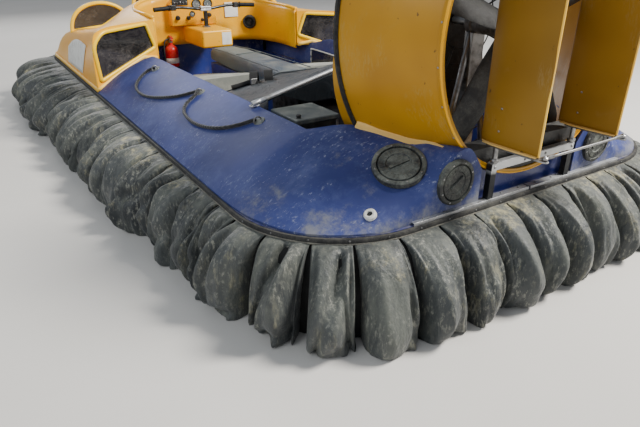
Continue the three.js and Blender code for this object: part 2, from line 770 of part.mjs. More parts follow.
function extinguisher() {
  const y = COCKPIT_FRONT + 20 + GAP + 64;
  const barrel = cylinder(55, 235, [260, y, 330], 'z', 20);
  const shoulder = cylinder(55, 20, [260, y, 457], 'z', 20, 24);
  const neck = cylinder(17, 80, [260, y, 505], 'z', 12);
  const handle = box(250, 270, y - 18, y + 62, 535, 560);
  const bracket = box(225, 295, COCKPIT_FRONT + 20 + GAP, y - 40, 260, 430);
  return joined(barrel, shoulder, neck, handle, bracket);
}

function beltGuard() {
  const shape = new THREE.Shape();
  shape.absarc(0, DUCT_Z, 78, 0, Math.PI, false);
  shape.absarc(0, 300, 108, Math.PI, 2 * Math.PI, false);
  const geometry = new THREE.ExtrudeGeometry(shape, { depth: 66, bevelEnabled: false, curveSegments: 10 });
  geometry.rotateX(Math.PI / 2);
  geometry.translate(0, 1944, 0);
  const foot = box(-100, 100, 1885, 1935, FLOOR_TOP + GAP, 260);
  return closed(geometry).add(foot).subtract(cylinder(24, 400, [0, 2000, DUCT_Z], 'y', 16));
}

// Build the craft
add('hull_tray', hullTray(), blueGrp());
add('side_body_port', sideBody(1), blueFabric());
add('side_body_starboard', sideBody(-1), blueFabric());
add('edge_strip', edgeStrip(), blackRubber());

const cornerX = STERN_CORNER_X + (HALF_BEAM - STERN_CORNER_X) * Math.SQRT1_2;
const cornerY = STERN_START + (STERN_Y - STERN_START) * Math.SQRT1_2;
const marks = {
  portStern: rimMark(cornerX, cornerY),
  starboardStern: rimMark(-cornerX, cornerY),
  starboardBow: rimMark(-HALF_BEAM, BOW_START),
  portBow: rimMark(HALF_BEAM, BOW_START),
};
const runs = [
  ['skirt_stern', marks.portStern, marks.starboardStern],
  ['skirt_starboard', marks.starboardStern, marks.starboardBow],
  ['skirt_bow', marks.starboardBow, marks.portBow],
  ['skirt_port', marks.portBow, marks.portStern + RIM_LENGTH],
];
for (const [name, from, to] of runs) add(name, skirtPart(from, to), blackRubber());

add('nose_cowl', noseCowl(), yellowGrp());
add('dashboard', dashboard(), yellowGrp());
for (const screen of SCREENS) add(`screen_${screen[0]}`, screenPane(screen), tinted());
add('instrument_panel', box(-150, 246, -1030 + GAP, -950, STEER_BOX_TOP + GAP, 850), yellowGrp());
add('steering_box', box(-130, 130, -1030 + GAP, -590, 485, STEER_BOX_TOP), yellowGrp());
add('handlebar', handlebar(), alloy());
add('seat_base', box(-112, 112, -500, 630, FLOOR_TOP + GAP, SEAT_BASE_TOP), blueGrp());
add('seat_cushion', seatCushion(), greyVinyl());
add('fire_extinguisher', extinguisher(), redPaint());
add('engine_cover', engineCover(), greyVinyl());
add('cover_hoop', coverHoop(), alloy());
add('engine_block', box(-240, 240, 760, 1380, FLOOR_TOP + GAP, 450), alloy());
add('side_box', box(430, 638, 1510, 1730, FLOOR_TOP + GAP, BOX_TOP), blackPlastic());
add('side_box_lid', box(424, 644, 1504, 1736, BOX_TOP + GAP, BOX_TOP + 24), paleGrp());
add('belt_guard', beltGuard(), blackPlastic());

add('duct_shell', ductShell(), yellowGrp());
add('duct_lip', ductLip(), yellowGrp());
add('fan_guard', fanGuard(), blackPlastic());
add('fan', fan(), blackPlastic());
add('fan_pylon', fanPylon(), alloy());
add('splitter', splitter(), blackPlastic());
const beam = box(-240, 240, 2414, 2440, 468, BEAM_TOP);
const legs = [1, -1].map((side) => box(side * 226 - 14, side * 226 + 14, 2414, 2438, DECK_TOP + GAP, 470));
add('stern_beam', joined(beam, ...legs), alloy());
add('rudder_bar', box(-330, 330, DUCT_BACK + GAP, 2450, TOP_BAR_Z, TOP_BAR_Z + 20), alloy());
add('tie_rod', tieRod(), alloy());

for (const side of [1, -1]) {
  const name = side > 0 ? 'port' : 'starboard';
  add(`side_window_${name}`, windowPrism(side, -GAP, -12, -6), tinted());
  add(`grip_${name}`, grip(side), blackRubber());
  add(`footboard_${name}`, footboard(side), paleGrp());
  add(`rudder_${name}`, rudder(side), yellowGrp());
  add(`rope_${name}`, rope(side), blackRubber());
  const deckNormal = new THREE.Vector3(side * 0.334, 0.352, 0.874);
  const lifted = sideBody(side).translate(deckNormal.clone().multiplyScalar(0.5).toArray());
  const deckHatch = hatch([side * 558, 2296, 508], deckNormal, 97, 16, 40).subtract(lifted);
  add(`deck_hatch_${name}`, deckHatch, blackPlastic());
  const sternHatch = hatch([side * 411, 2426 + GAP, 461], new THREE.Vector3(0, 1, 0), 84, 14);
  add(`stern_hatch_${name}`, sternHatch, blackPlastic());
}

export default group;
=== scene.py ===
"""Looks of a small hovercraft on its deflated skirt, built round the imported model.

+X is the port side, -Y is the bow, +Z is up, and everything is in metres.
"""

import math
import random

import bmesh
import bpy
from mathutils import Matrix, Vector, noise
from mathutils.bvhtree import BVHTree


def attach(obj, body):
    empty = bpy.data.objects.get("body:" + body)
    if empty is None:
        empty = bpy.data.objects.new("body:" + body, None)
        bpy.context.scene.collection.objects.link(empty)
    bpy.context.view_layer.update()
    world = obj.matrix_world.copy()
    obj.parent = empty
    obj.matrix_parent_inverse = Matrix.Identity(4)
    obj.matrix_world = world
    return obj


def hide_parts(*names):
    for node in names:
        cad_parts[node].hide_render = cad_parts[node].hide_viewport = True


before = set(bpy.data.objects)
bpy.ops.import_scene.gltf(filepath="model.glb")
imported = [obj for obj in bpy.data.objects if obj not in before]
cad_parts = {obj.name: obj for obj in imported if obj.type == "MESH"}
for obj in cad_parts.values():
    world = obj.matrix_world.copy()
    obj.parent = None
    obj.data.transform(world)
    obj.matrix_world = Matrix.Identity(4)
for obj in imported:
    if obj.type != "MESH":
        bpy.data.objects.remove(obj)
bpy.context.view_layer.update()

# Deck outline: straight sides, elliptical bow, rounded stern corners
HALF_BEAM = 1.06
BOW_START = -1.72
BOW_DEPTH = 0.57
STERN_START = 2.01
STERN_Y = 2.44
STERN_CORNER_X = 0.62

# Heights and widths of the hull
DECK_TOP = 0.345
DECK_EDGE = 0.353
RIDGE_X = 0.712
RIDGE_Z = 0.563
KNEE_Z = 0.48
COWL_BACK = -0.124
COWL_SLANT = 0.45
COWL_WALL = 0.016

# Duct, fan and rudders
DUCT_Z = 0.931
FAN_Y = 2.27
RUDDER_X = 0.225
RUDDER_PIVOT_Y = 2.432
TIE_ROD_Y = 2.632

# Steering
BAR_Y = -0.814
BAR_Z = 0.768
STEER_BOX_TOP = 0.62

# Hoop behind the engine cover
HOOP_Y = 1.484

# The two sides of the craft, and the ways that turned pieces point
SIDES = ((1, "port"), (-1, "starboard"))
UP = (0, 0, 1)
AFT = (0, 1, 0)

# Camera, solved from the photograph
CAMERA_PLACE = Vector((1.756, 3.649, 1.189))
CAMERA_AHEAD = Vector((-0.4865, -0.7572, -0.4359))
FOCAL_PIXELS = 543.3
PICTURE_WIDTH = 640
SENSOR_WIDTH = 36

camera = bpy.data.objects.new("camera", bpy.data.cameras.new("camera"))
bpy.context.collection.objects.link(camera)
camera.location = CAMERA_PLACE
camera.rotation_euler = CAMERA_AHEAD.to_track_quat("-Z", "Y").to_euler()
camera.data.sensor_width = SENSOR_WIDTH
camera.data.lens = FOCAL_PIXELS / PICTURE_WIDTH * SENSOR_WIDTH
camera.data.clip_start = 0.05
bpy.context.scene.camera = camera


# Shader tools
class Signal:
    """A socket of a material. Sums, differences and products add Math nodes."""

    def __init__(self, paint, socket):
        self.paint = paint
        self.socket = socket

    def maths(self, operation, *values):
        return self.paint.node("ShaderNodeMath", {"operation": operation}, values)

    def __add__(self, other):
        return self.maths("ADD", self, other)

    def __radd__(self, other):
        return self.maths("ADD", other, self)

    def __sub__(self, other):
        return self.maths("SUBTRACT", self, other)

    def __rsub__(self, other):
        return self.maths("SUBTRACT", other, self)

    def __mul__(self, other):
        return self.maths("MULTIPLY", self, other)

    def __rmul__(self, other):
        return self.maths("MULTIPLY", other, self)

    def held(self):
        """The value kept between 0 and 1."""
        return self.paint.node("ShaderNodeClamp", None, [self, 0.0, 1.0])

    def fade(self, low, high):
        """0 below low, 1 above high, and smooth between."""
        settings = {"interpolation_type": "SMOOTHSTEP"}
        return self.paint.node("ShaderNodeMapRange", settings, [self, low, high, 0.0, 1.0])


class Paint:
    """One procedural material, for pieces of one slot; constants are the shader's own settings."""

    def __init__(self, name, slot, constants):
        self.slot = slot
        self.material = bpy.data.materials.new(name)
        self.material.use_nodes = True
        self.tree = self.material.node_tree
        self.shader = self.tree.nodes["Principled BSDF"]
        for socket, value in constants.items():
            self.shader.inputs[socket].default_value = value

    def node(self, kind, settings=None, values=(), output=0):
        made = self.tree.nodes.new(kind)
        for key, setting in (settings or {}).items():
            setattr(made, key, setting)
        pairs = values.items() if isinstance(values, dict) else enumerate(values)
        for key, value in pairs:
            if isinstance(value, Signal):
                self.tree.links.new(value.socket, made.inputs[key])
            else:
                made.inputs[key].default_value = value
        return Signal(self, made.outputs[output])

    def place(self, stretch=(1, 1, 1), shift=(0, 0, 0)):
        """Position on the object in metres, stretched and shifted."""
        at = self.node("ShaderNodeTexCoord", output=3)
        return self.node("ShaderNodeVectorMath", {"operation": "MULTIPLY_ADD"}, [at, stretch, shift])

    def mottle(self, scale, detail=4.0, rough=0.55, stretch=(1, 1, 1), shift=(0, 0, 0), bend=0.0):
        """Cloudy noise from 0 to 1."""
        values = {
            "Vector": self.place(stretch, shift),
            "Scale": scale,
            "Detail": detail,
            "Roughness": rough,
            "Distortion": bend,
        }
        return self.node("ShaderNodeTexNoise", None, values)

    def creases(self, scale, stretch=(1, 1, 1), shift=(0, 0, 0), bend=1.2):
        """Thin lines, 1 on the line, where cloudy noise crosses its middle."""
        cloud = self.mottle(scale, 3.0, 0.6, stretch, shift, bend)
        away = self.node("ShaderNodeMath", {"operation": "ABSOLUTE"}, [cloud - 0.5])
        return 1 - away.fade(0.0, 0.045)

    def grain(self, scale, stretch=(1, 1, 1)):
        """Distance to the nearest cell of a fine grain."""
        values = {"Vector": self.place(stretch), "Scale": scale}
        return self.node("ShaderNodeTexVoronoi", None, values)

    def threads(self, pitch, axis):
        """Woven ribs of the given pitch along an axis."""
        settings = {"wave_type": "BANDS", "bands_direction": axis}
        values = {"Vector": self.place(), "Scale": math.pi / (10 * pitch), "Distortion": 0.0}
        return self.node("ShaderNodeTexWave", settings, values, 1)

    def upward(self):
        """1 on surfaces that face up and 0 on walls."""
        facing = self.node("ShaderNodeNewGeometry", output=1)
        return self.node("ShaderNodeSeparateXYZ", None, [facing], 2).held()

    def height(self):
        return self.node("ShaderNodeSeparateXYZ", None, [self.place()], 2)

    def aft(self):
        """How far a point lies towards the stern."""
        return self.node("ShaderNodeSeparateXYZ", None, [self.place()], 1)

    def random_part(self):
        """A number of its own for each joined part of a mesh."""
        return self.node("ShaderNodeNewGeometry", output=8)

    def blend(self, share, first, second):
        """Colour that goes from the first to the second as share goes from 0 to 1."""
        values = {0: share, 6: colour(first), 7: colour(second)}
        return self.node("ShaderNodeMix", {"data_type": "RGBA"}, values, 2)

    def feed(self, socket, signal):
        self.tree.links.new(signal.socket, self.shader.inputs[socket])

    def relief(self, height, distance, strength=1.0):
        values = {"Strength": strength, "Distance": distance, "Height": height}
        self.feed("Normal", self.node("ShaderNodeBump", None, values))


def colour(value):
    """Colours are written as three sRGB numbers from 0 to 255."""
    if isinstance(value, Signal):
        return value
    shares = [part / 255 for part in value]
    linear = [s / 12.92 if s < 0.04045 else ((s + 0.055) / 1.055) ** 2.4 for s in shares]
    return (*linear, 1.0)


# Mesh tools: a shape is a pair of lists, its points and its faces
def merged(*shapes):
    points, faces = [], []
    for shape_points, shape_faces in shapes:
        start = len(points)
        points += shape_points
        faces += [[start + i for i in face] for face in shape_faces]
    return points, faces


def moved(shape, matrix):
    points, faces = shape
    return [matrix @ Vector(p) for p in points], faces


def mirrored(shape):
    points, faces = shape
    return [Vector((-p[0], p[1], p[2])) for p in points], [face[::-1] for face in faces]


def sided(shape, side):
    return shape if side > 0 else mirrored(shape)


def mirrored_line(points):
    """The mirror image of a line, walked the other way."""
    return [Vector((-p.x, p.y, p.z)) for p in points[::-1]]


def line_length(line):
    return sum((b - a).length for a, b in zip(line, line[1:]))


def sheet_area(rows):
    """Area of the surface that rows of points span."""
    area = 0
    for upper, lower in zip(rows, rows[1:]):
        for a, b, c, d in zip(upper, upper[1:], lower[1:], lower):
            area += ((b - a).cross(d - a).length + (b - c).cross(d - c).length) / 2
    return area


def curve_through(points, steps, closed=False):
    """Smooth line through the points, with steps pieces between neighbours."""
    points = [Vector(p) for p in points]
    count = len(points)
    line = []
    spans = count if closed else count - 1
    for i in range(spans):
        ends = [i - 1, i, i + 1, i + 2]
        if closed:
            a, b, c, d = (points[k % count] for k in ends)
        else:
            a, b, c, d = (points[min(max(k, 0), count - 1)] for k in ends)
        for k in range(steps):
            t = k / steps
            line.append(
                0.5 * (2 * b + (c - a) * t + (2 * a - 5 * b + 4 * c - d) * t * t)
                + 0.5 * (3 * b - a - 3 * c + d) * t**3
            )
    if not closed:
        line.append(points[-1])
    return line


def skin(rows, closed_row=True, closed_ends=False, capped=True):
    """Surface through rows of points of equal counts."""
    count = len(rows[0])
    points = [p for row in rows for p in row]
    faces = []
    for i in range(len(rows) if closed_ends else len(rows) - 1):
        j = (i + 1) % len(rows)
        for k in range(count if closed_row else count - 1):
            m = (k + 1) % count
            faces.append([i * count + k, i * count + m, j * count + m, j * count + k])
    if capped and closed_row and not closed_ends:
        last = (len(rows) - 1) * count
        faces.append(list(range(count))[::-1])
        faces.append([last + k for k in range(count)])
    return points, faces


def swept(path, section, closed=False, up=UP):
    """Section of (across, above) pairs carried along a path, with above turned towards up."""
    path = [Vector(p) for p in path]
    rows = []
    for i, at in enumerate(path):
        ahead = path[(i + 1) % len(path)] if closed or i + 1 < len(path) else at
        behind = path[i - 1] if closed or i > 0 else at
        along = (ahead - behind).normalized()
        across = along.cross(Vector(up)).normalized()
        above = across.cross(along)
        rows.append([at + across * a + above * b for a, b in section])
    return skin(rows, closed_ends=closed)


def ring(radius, count=12, flat=1.0):
    """Round section, or an oval one when flat isn't 1."""
    turn = 2 * math.pi / count
    return [(radius * math.cos(k * turn), flat * radius * math.sin(k * turn)) for k in range(count)]


def tube(path, radius, count=12, closed=False, up=UP):
    return swept(path, ring(radius, count), closed, up)


def turned(profile, start, axis, count=32):
    """Profile of (radius, distance) pairs turned round an axis from a start point."""
    axis = Vector(axis).normalized()
    side = axis.orthogonal().normalized()
    rows = []
    for k in range(count):
        outward = Matrix.Rotation(math.tau * k / count, 3, axis) @ side
        rows.append([Vector(start) + outward * r + axis * d for r, d in profile])
    return skin(rows, closed_row=False, closed_ends=True)


def spoke(turn):
    """Unit vector in the fan's plane, turned from port upwards."""
    return Vector((math.cos(turn), 0, math.sin(turn)))


def block(low, high):
    corners = [(x, y, z) for x in (low[0], high[0]) for y in (low[1], high[1]) for z in (low[2], high[2])]
    faces = [[0, 1, 3, 2], [4, 6, 7, 5], [0, 4, 5, 1], [2, 3, 7, 6], [0, 2, 6, 4], [1, 5, 7, 3]]
    return [Vector(c) for c in corners], faces


def slab(outline, depth):
    """Flat plate over a closed outline of points, as thick as the depth vector."""
    near = [Vector(p) for p in outline]
    return skin([near, [p + Vector(depth) for p in near]])


def bolt(at, axis, radius=0.008, height=0.006):
    """Domed bolt head standing on a face."""
    axis = Vector(axis).normalized()
    shoulder = [(radius * 0.5, height * 0.9), (radius * 0.87, height * 0.5)]
    head = [(0, height), *shoulder, (radius, 0), (radius, -0.002)]
    return turned(head, at, axis, 10)


def mesh_of(name, shape):
    """Mesh of a shape, with its faces turned outwards."""
    mesh = bpy.data.meshes.new(name)
    mesh.from_pydata([tuple(p) for p in shape[0]], [], shape[1])
    mesh.validate()
    work = bmesh.new()
    work.from_mesh(mesh)
    bmesh.ops.remove_doubles(work, verts=work.verts, dist=1e-6)
    bmesh.ops.recalc_face_normals(work, faces=work.faces)
    work.to_mesh(mesh)
    work.free()
    return mesh


def round_edges(made, width, steps):
    """Bevel the sharp edges of an object."""
    edge = made.modifiers.new("rounded edges", "BEVEL")
    edge.width = width
    edge.segments = steps
    edge.limit_method = "ANGLE"
    edge.angle_limit = math.radians(40)
    edge.harden_normals = True


def build(
    name, shape, paint, body="hull", covers=None, crisp=35, bevel=0.0, bevel_steps=3, thick=0.0
):
    """Make one piece from a shape. It rides on a body, and may stand for the CAD node that it covers."""
    mesh = mesh_of(name, shape)
    made = bpy.data.objects.new(name, mesh)
    bpy.context.collection.objects.link(made)
    mesh.materials.append(paint.material)
    mesh.shade_smooth()
    if crisp:
        mesh.set_sharp_from_angle(angle=math.radians(crisp))
    if thick:
        shell = made.modifiers.new("thickness", "SOLIDIFY")
        shell.thickness = thick
        shell.offset = -1
    if bevel:
        round_edges(made, bevel, bevel_steps)
    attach(made, body)
    if covers:
        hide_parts(covers)
    return made


def repaint(node, paint, bevel=0.0, steps=2):
    """Better finish, and softer edges, for a CAD solid whose shape is right."""
    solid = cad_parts[node]
    solid.data.materials.clear()
    solid.data.materials.append(paint.material)
    if bevel:
        round_edges(solid, bevel, steps)


def between(rows, at):
    """Value at a place, from rows of (place, value) in rising order."""
    if at <= rows[0][0]:
        return rows[0][1]
    for (low, first), (high, second) in zip(rows, rows[1:]):
        if at <= high:
            return first + (second - first) * (at - low) / (high - low)
    return rows[-1][1]


# Finishes
def make_gelcoat(name, bright, deep, chalk, gloss=0.3):
    """Moulded GRP with slow colour drift, chalky patches, dark specks and fine scratches."""
    constants = {"Coat Weight": 0.1, "Coat Roughness": 0.2, "Specular IOR Level": 0.32}
    paint = Paint(name, "yellow_grp", constants)
    face = paint.blend(paint.mottle(1.7, 3.0).fade(0.35, 0.7), bright, deep)
    dusty = paint.mottle(5.5, 7.0, 0.66, bend=0.5).fade(0.56, 0.8) * 0.6
    scratched = paint.creases(11, (1, 6, 1)) * paint.mottle(3.1, shift=(4, 0, 2)).fade(0.56, 0.62) * 0.5
    specks = paint.mottle(46, 2.0, 0.5, shift=(9, 3, 1)).fade(0.72, 0.77)
    face = paint.blend((dusty + scratched).held(), face, chalk)
    face = paint.blend(specks * 0.75, face, (70, 48, 22))
    paint.feed("Base Color", face)
    paint.feed("Roughness", gloss + 0.35 * dusty + 0.05 * paint.mottle(60, 3.0))
    paint.relief(paint.mottle(7, 3.0) + 0.12 * paint.mottle(90, 2.0), 0.0012)
    return paint


def make_hull_fabric():
    """Blue coated fabric with pale scuffs and sand towards the stern."""
    paint = Paint("blue_coated_fabric", "hull_fabric", {"Specular IOR Level": 0.22})
    face = paint.blend(paint.mottle(2.6, 5.0).fade(0.3, 0.72), (42, 51, 102), (56, 66, 122))
    bloom = paint.mottle(6.5, 10.0, 0.76, bend=0.3).fade(0.46, 0.74)
    scuffed = paint.mottle(5.4, shift=(2, 5, 1)).fade(0.42, 0.58)
    scuffs = paint.mottle(44, 6.0, 0.78, (1, 2.2, 1)).fade(0.56, 0.68) * scuffed
    sandy = paint.mottle(5.4, 10.0, 0.76, shift=(1, 1, 7)) + 0.16 * paint.aft().fade(1.6, 2.3)
    low = 1 - paint.height().fade(0.35, 0.42)
    sandy = (sandy + 0.1 * low).fade(0.66, 0.86)
    face = paint.blend(bloom * 0.5, face, (98, 108, 148))
    face = paint.blend(scuffs * 0.6, face, (174, 180, 192))
    face = paint.blend(sandy * 0.65, face, (134, 134, 126))
    paint.feed("Base Color", face)
    paint.feed("Roughness", 0.55 + 0.2 * sandy + 0.1 * bloom)
    folds = paint.mottle(4, 3.0, bend=0.6)
    paint.relief(folds + 0.04 * paint.mottle(70, 3.0), 0.005, 0.7)
    return paint


def make_hull_shell():
    """Blue moulded hull, scratched and dirty on its flats."""
    paint = Paint("blue_gelcoat", "hull_grp", {"Specular IOR Level": 0.5})
    face = paint.blend(paint.mottle(3.0, 5.0).fade(0.3, 0.7), (25, 35, 96), (38, 50, 120))
    dirt = (paint.mottle(7, 9.0, 0.7) + 0.16 * paint.upward()).fade(0.52, 0.82)
    scuffs = paint.creases(12, (2, 1, 1)) * paint.mottle(5).fade(0.5, 0.6)
    face = paint.blend(dirt * 0.8, face, (126, 122, 112))
    paint.feed("Base Color", paint.blend(scuffs * 0.4, face, (170, 172, 178)))
    paint.feed("Roughness", 0.34 + 0.4 * dirt)
    paint.relief(paint.mottle(9, 4.0), 0.002)
    return paint


def make_skirt_fabric():
    """Charcoal coated fabric, flecked, with olive dust in patches and sandy streaks down its folds."""
    paint = Paint("charcoal_skirt_fabric", "skirt_fabric", {"Specular IOR Level": 0.4, "Sheen Weight": 0.1})
    shade = paint.random_part() * 0.5 + 0.5 * paint.mottle(3.0, 4.0)
    face = paint.blend(shade.fade(0.2, 0.8), (34, 38, 41), (60, 64, 64))
    dust = (paint.mottle(6.0, 10.0, 0.78, (1, 1, 0.5), bend=0.5) + 0.1 * paint.upward()).fade(0.45, 0.72)
    flecked = paint.mottle(7, 5.0, 0.7, shift=(5, 2, 1)).fade(0.36, 0.6)
    flecks = paint.mottle(75, 4.0, 0.75, (1, 1, 0.4)).fade(0.5, 0.66) * flecked
    streaked = paint.mottle(4, shift=(5, 2, 1)).fade(0.42, 0.6)
    streaks = paint.mottle(30, 6.0, 0.75, (1, 1, 0.25)).fade(0.52, 0.68) * streaked
    sand = (paint.mottle(3.4, 12.0, 0.8, (1, 1, 0.6), (3, 1, 4)) + 0.04 * paint.upward()).fade(0.58, 0.7)
    face = paint.blend(dust * 0.6, face, (104, 107, 98))
    face = paint.blend(flecks * 0.6, face, (146, 146, 134))
    face = paint.blend(streaks * 0.55, face, (140, 136, 112))
    paint.feed("Base Color", paint.blend(sand * 0.8, face, (170, 162, 124)))
    paint.feed("Roughness", 0.48 + 0.3 * dust)
    folds = paint.mottle(9, 5.0, 0.6, (1, 1, 0.4), bend=0.4)
    wrinkles = folds + 0.5 * paint.mottle(26, 4.0, 0.6, (1, 1, 0.5), bend=0.6)
    paint.relief(wrinkles + 0.12 * paint.mottle(90, 4.0), 0.014, 0.8)
    return paint


def make_plastic(name, slot, base, dusted, share, rough=0.5, bumps=60):
    """Moulded plastic, rubber or enamel with dust lying on it."""
    paint = Paint(name, slot, {"Specular IOR Level": 0.45})
    dust = (paint.mottle(14, 8.0, 0.7) + 0.12 * paint.upward()).fade(0.45, 0.75)
    wiped = paint.creases(22, (1, 3, 1)) * 0.3
    paint.feed("Base Color", paint.blend((dust * share + wiped * share).held(), base, dusted))
    paint.feed("Roughness", rough + 0.3 * dust)
    paint.relief(paint.mottle(bumps, 3.0), 0.0008)
    return paint


def make_vinyl():
    """Grained olive-grey vinyl, going slate towards the stern, dusty in its grain."""
    paint = Paint("grained_vinyl", "seat_vinyl", {"Specular IOR Level": 0.4})
    face = paint.blend(paint.aft().fade(-0.3, 0.35), (90, 96, 89), (62, 72, 82))
    dust = (paint.mottle(8, 8.0, 0.7) + 0.12 * paint.upward()).fade(0.5, 0.82)
    paint.feed("Base Color", paint.blend(dust * 0.55, face, (134, 132, 120)))
    paint.feed("Roughness", 0.5 + 0.25 * dust)
    paint.relief(paint.grain(420) + 0.8 * paint.mottle(16, 4.0), 0.0012)
    return paint


def make_cover_cloth():
    """Slate coated cloth with soft creases and dust in the folds."""
    paint = Paint("slate_cover_cloth", "cover_fabric", {"Specular IOR Level": 0.2, "Sheen Weight": 0.05})
    face = paint.blend(paint.mottle(4, 4.0).fade(0.3, 0.7), (12, 18, 23), (26, 34, 41))
    dust = (paint.mottle(6, 9.0, 0.7, bend=0.8) + 0.08 * paint.upward()).fade(0.56, 0.9)
    paint.feed("Base Color", paint.blend(dust * 0.4, face, (70, 80, 84)))
    paint.feed("Roughness", 0.5 + 0.25 * dust)
    folds = paint.mottle(9, 4.0, bend=1.6) + 0.35 * paint.creases(5)
    paint.relief(folds + 0.05 * paint.threads(0.002, "X"), 0.006)
    return paint


def make_metal(name, slot, base, tarnish, rough=0.35):
    """Bare metal with dull patches and fine marks."""
    paint = Paint(name, slot, {"Metallic": 0.9})
    dull = paint.mottle(18, 7.0, 0.65).fade(0.4, 0.75)
    paint.feed("Base Color", paint.blend(dull, base, tarnish))
    paint.feed("Roughness", rough + 0.3 * dull + 0.08 * paint.mottle(120, 2.0))
    paint.relief(paint.mottle(140, 2.0), 0.0003)
    return paint


def make_beam_paint():
    """Dull alloy, dark grey below the beam's top, on its legs."""
    paint = Paint("alloy_dark_below", "alloy", {"Metallic": 0.6})
    upper_share = (paint.height() + 0.03 * paint.mottle(20, 5.0)).fade(0.462, 0.482)
    dull = paint.mottle(18, 7.0, 0.65).fade(0.4, 0.75)
    low_dark_colour = paint.blend(dull, (30, 32, 36), (66, 68, 68))
    paint.feed("Base Color", paint.blend(upper_share, low_dark_colour, (184, 186, 186)))
    paint.feed("Roughness", 0.45 + 0.25 * dull)
    paint.relief(paint.mottle(140, 2.0), 0.0003)
    return paint


def make_rope():
    """Black laid rope, dusty on its strands."""
    paint = Paint("black_rope", "rope_fibre", {"Specular IOR Level": 0.3, "Sheen Weight": 0.2})
    strands = paint.threads(0.009, "DIAGONAL")
    dust = paint.mottle(30, 5.0).fade(0.45, 0.8) * strands
    paint.feed("Base Color", paint.blend(dust * 0.5, (22, 23, 25), (92, 90, 84)))
    paint.feed("Roughness", 0.7 + 0.2 * dust)
    paint.relief(strands, 0.002)
    return paint


def make_pane():
    """Smoked clear sheet, hazed by dust and fine scratches."""
    constants = {"Specular IOR Level": 0.6, "Coat Weight": 0.4, "Coat Roughness": 0.05}
    paint = Paint("smoked_sheet", "pale_grp", constants)
    haze = paint.mottle(6, 8.0, 0.7, bend=0.5).fade(0.42, 0.8)
    lines = paint.creases(20, (1, 1, 4)) * 0.35
    paint.feed("Base Color", paint.blend((haze * 0.42 + lines).held(), (26, 24, 25), (112, 106, 100)))
    paint.feed("Roughness", 0.1 + 0.4 * haze)
    paint.feed("Alpha", 0.8 + 0.16 * haze)
    paint.material.surface_render_method = "BLENDED"
    return paint


def make_floor():
    """Plain pale ground, which the staging alone uses."""
    paint = Paint("pale_floor", None, {"Specular IOR Level": 0.2, "Roughness": 0.85})
    cloud = paint.mottle(1.2, 4.0)
    paint.feed("Base Color", paint.blend(cloud, (196, 193, 187), (206, 203, 198)))
    return paint


yellow = make_gelcoat("yellow_gelcoat", (240, 176, 8), (228, 156, 2), (216, 176, 84))
# Lighter copy of the yellow gelcoat for the window frames and screen arches: painted highlight, as these
# rims catch the sun.
lit_frame_yellow = make_gelcoat("highlight_painted_yellow_frame", (255, 206, 4), (250, 190, 0), (236, 196, 84))
# Darker copy of the yellow gelcoat for the duct and its fairings: painted shade on the duct's port side,
# which lies in shade.
shade_painted_yellow = make_gelcoat("shaded_yellow_gelcoat", (184, 134, 18), (160, 110, 10), (168, 140, 76), 0.38)
# Still darker copy for the rudder blades: painted shade on their port faces, which lie in shade.
shaded = make_gelcoat("shade_darkened_rudder_gelcoat", (150, 112, 30), (128, 92, 20), (146, 124, 76), 0.42)
# Pale yellow for the cowl beads and sills; on the rudders' trailing edges it is a painted highlight, a sun
# glint painted on.
pale_edge_and_glint_yellow = make_gelcoat("pale_yellow_edge_and_glint", (250, 206, 96), (244, 188, 66), (228, 206, 150), 0.42)
lip_cream = make_gelcoat("pale_worn_lip", (232, 196, 120), (212, 166, 84), (168, 140, 100), 0.5)
blue_fabric = make_hull_fabric()
blue_shell = make_hull_shell()
skirt_fabric = make_skirt_fabric()
# Near-black paint for the sheet behind the fingers: painted shade in the gaps between them.
gap_shade_paint = make_plastic("painted_gap_shade_skirt", "skirt_fabric", (10, 11, 12), (38, 38, 36), 0.4, 0.8, 20)
black = make_plastic("black_plastic", "black_plastic", (20, 20, 21), (88, 88, 84), 0.45)
hatch_black = make_plastic(
    "dusty_hatch_plastic", "hatch_plastic", (36, 38, 39), (112, 116, 108), 0.85, 0.55
)
trim_rubber = make_plastic("trim_rubber", "rubber_trim", (24, 24, 25), (96, 94, 88), 0.6, 0.7, 30)
cord_grey = make_plastic("frayed_edge_cord", "rubber_trim", (92, 90, 84), (150, 146, 132), 0.8, 0.85, 90)
grip_rubber = make_plastic("grip_rubber", "grip_rubber", (16, 16, 17), (60, 60, 60), 0.35, 0.65, 200)
pale_shell = make_plastic("pale_grey_gelcoat", "pale_grp", (124, 126, 119), (156, 154, 142), 0.7, 0.45, 25)
lid_grey = make_plastic("worn_grey_lid", "pale_grp", (76, 82, 82), (122, 124, 118), 0.7, 0.5, 25)
dial_grey = make_plastic("grey_dial_face", "pale_grp", (86, 94, 96), (126, 130, 128), 0.5, 0.3, 25)
webbing = make_plastic("black_webbing", "black_plastic", (10, 10, 11), (44, 44, 42), 0.4, 0.8, 150)
vinyl = make_vinyl()
cover_cloth = make_cover_cloth()
red = make_plastic("red_enamel", "red_paint", (188, 18, 20), (150, 90, 80), 0.25, 0.22, 12)
white_label = make_plastic("blank_label", "pale_grp", (222, 222, 216), (182, 178, 168), 0.6, 0.5)
alloy = make_metal("dull_alloy", "alloy", (196, 198, 200), (130, 130, 128), 0.38)
steel = make_metal("worn_steel", "bar_steel", (150, 150, 150), (84, 82, 80), 0.3)
dark_steel = make_metal("dark_bar_steel", "bar_steel", (74, 76, 78), (34, 34, 34), 0.34)
cast = make_metal("cast_alloy", "engine_alloy", (110, 110, 110), (60, 56, 50), 0.55)
alloy_dark_below = make_beam_paint()
rope_fibre = make_rope()
pane = make_pane()


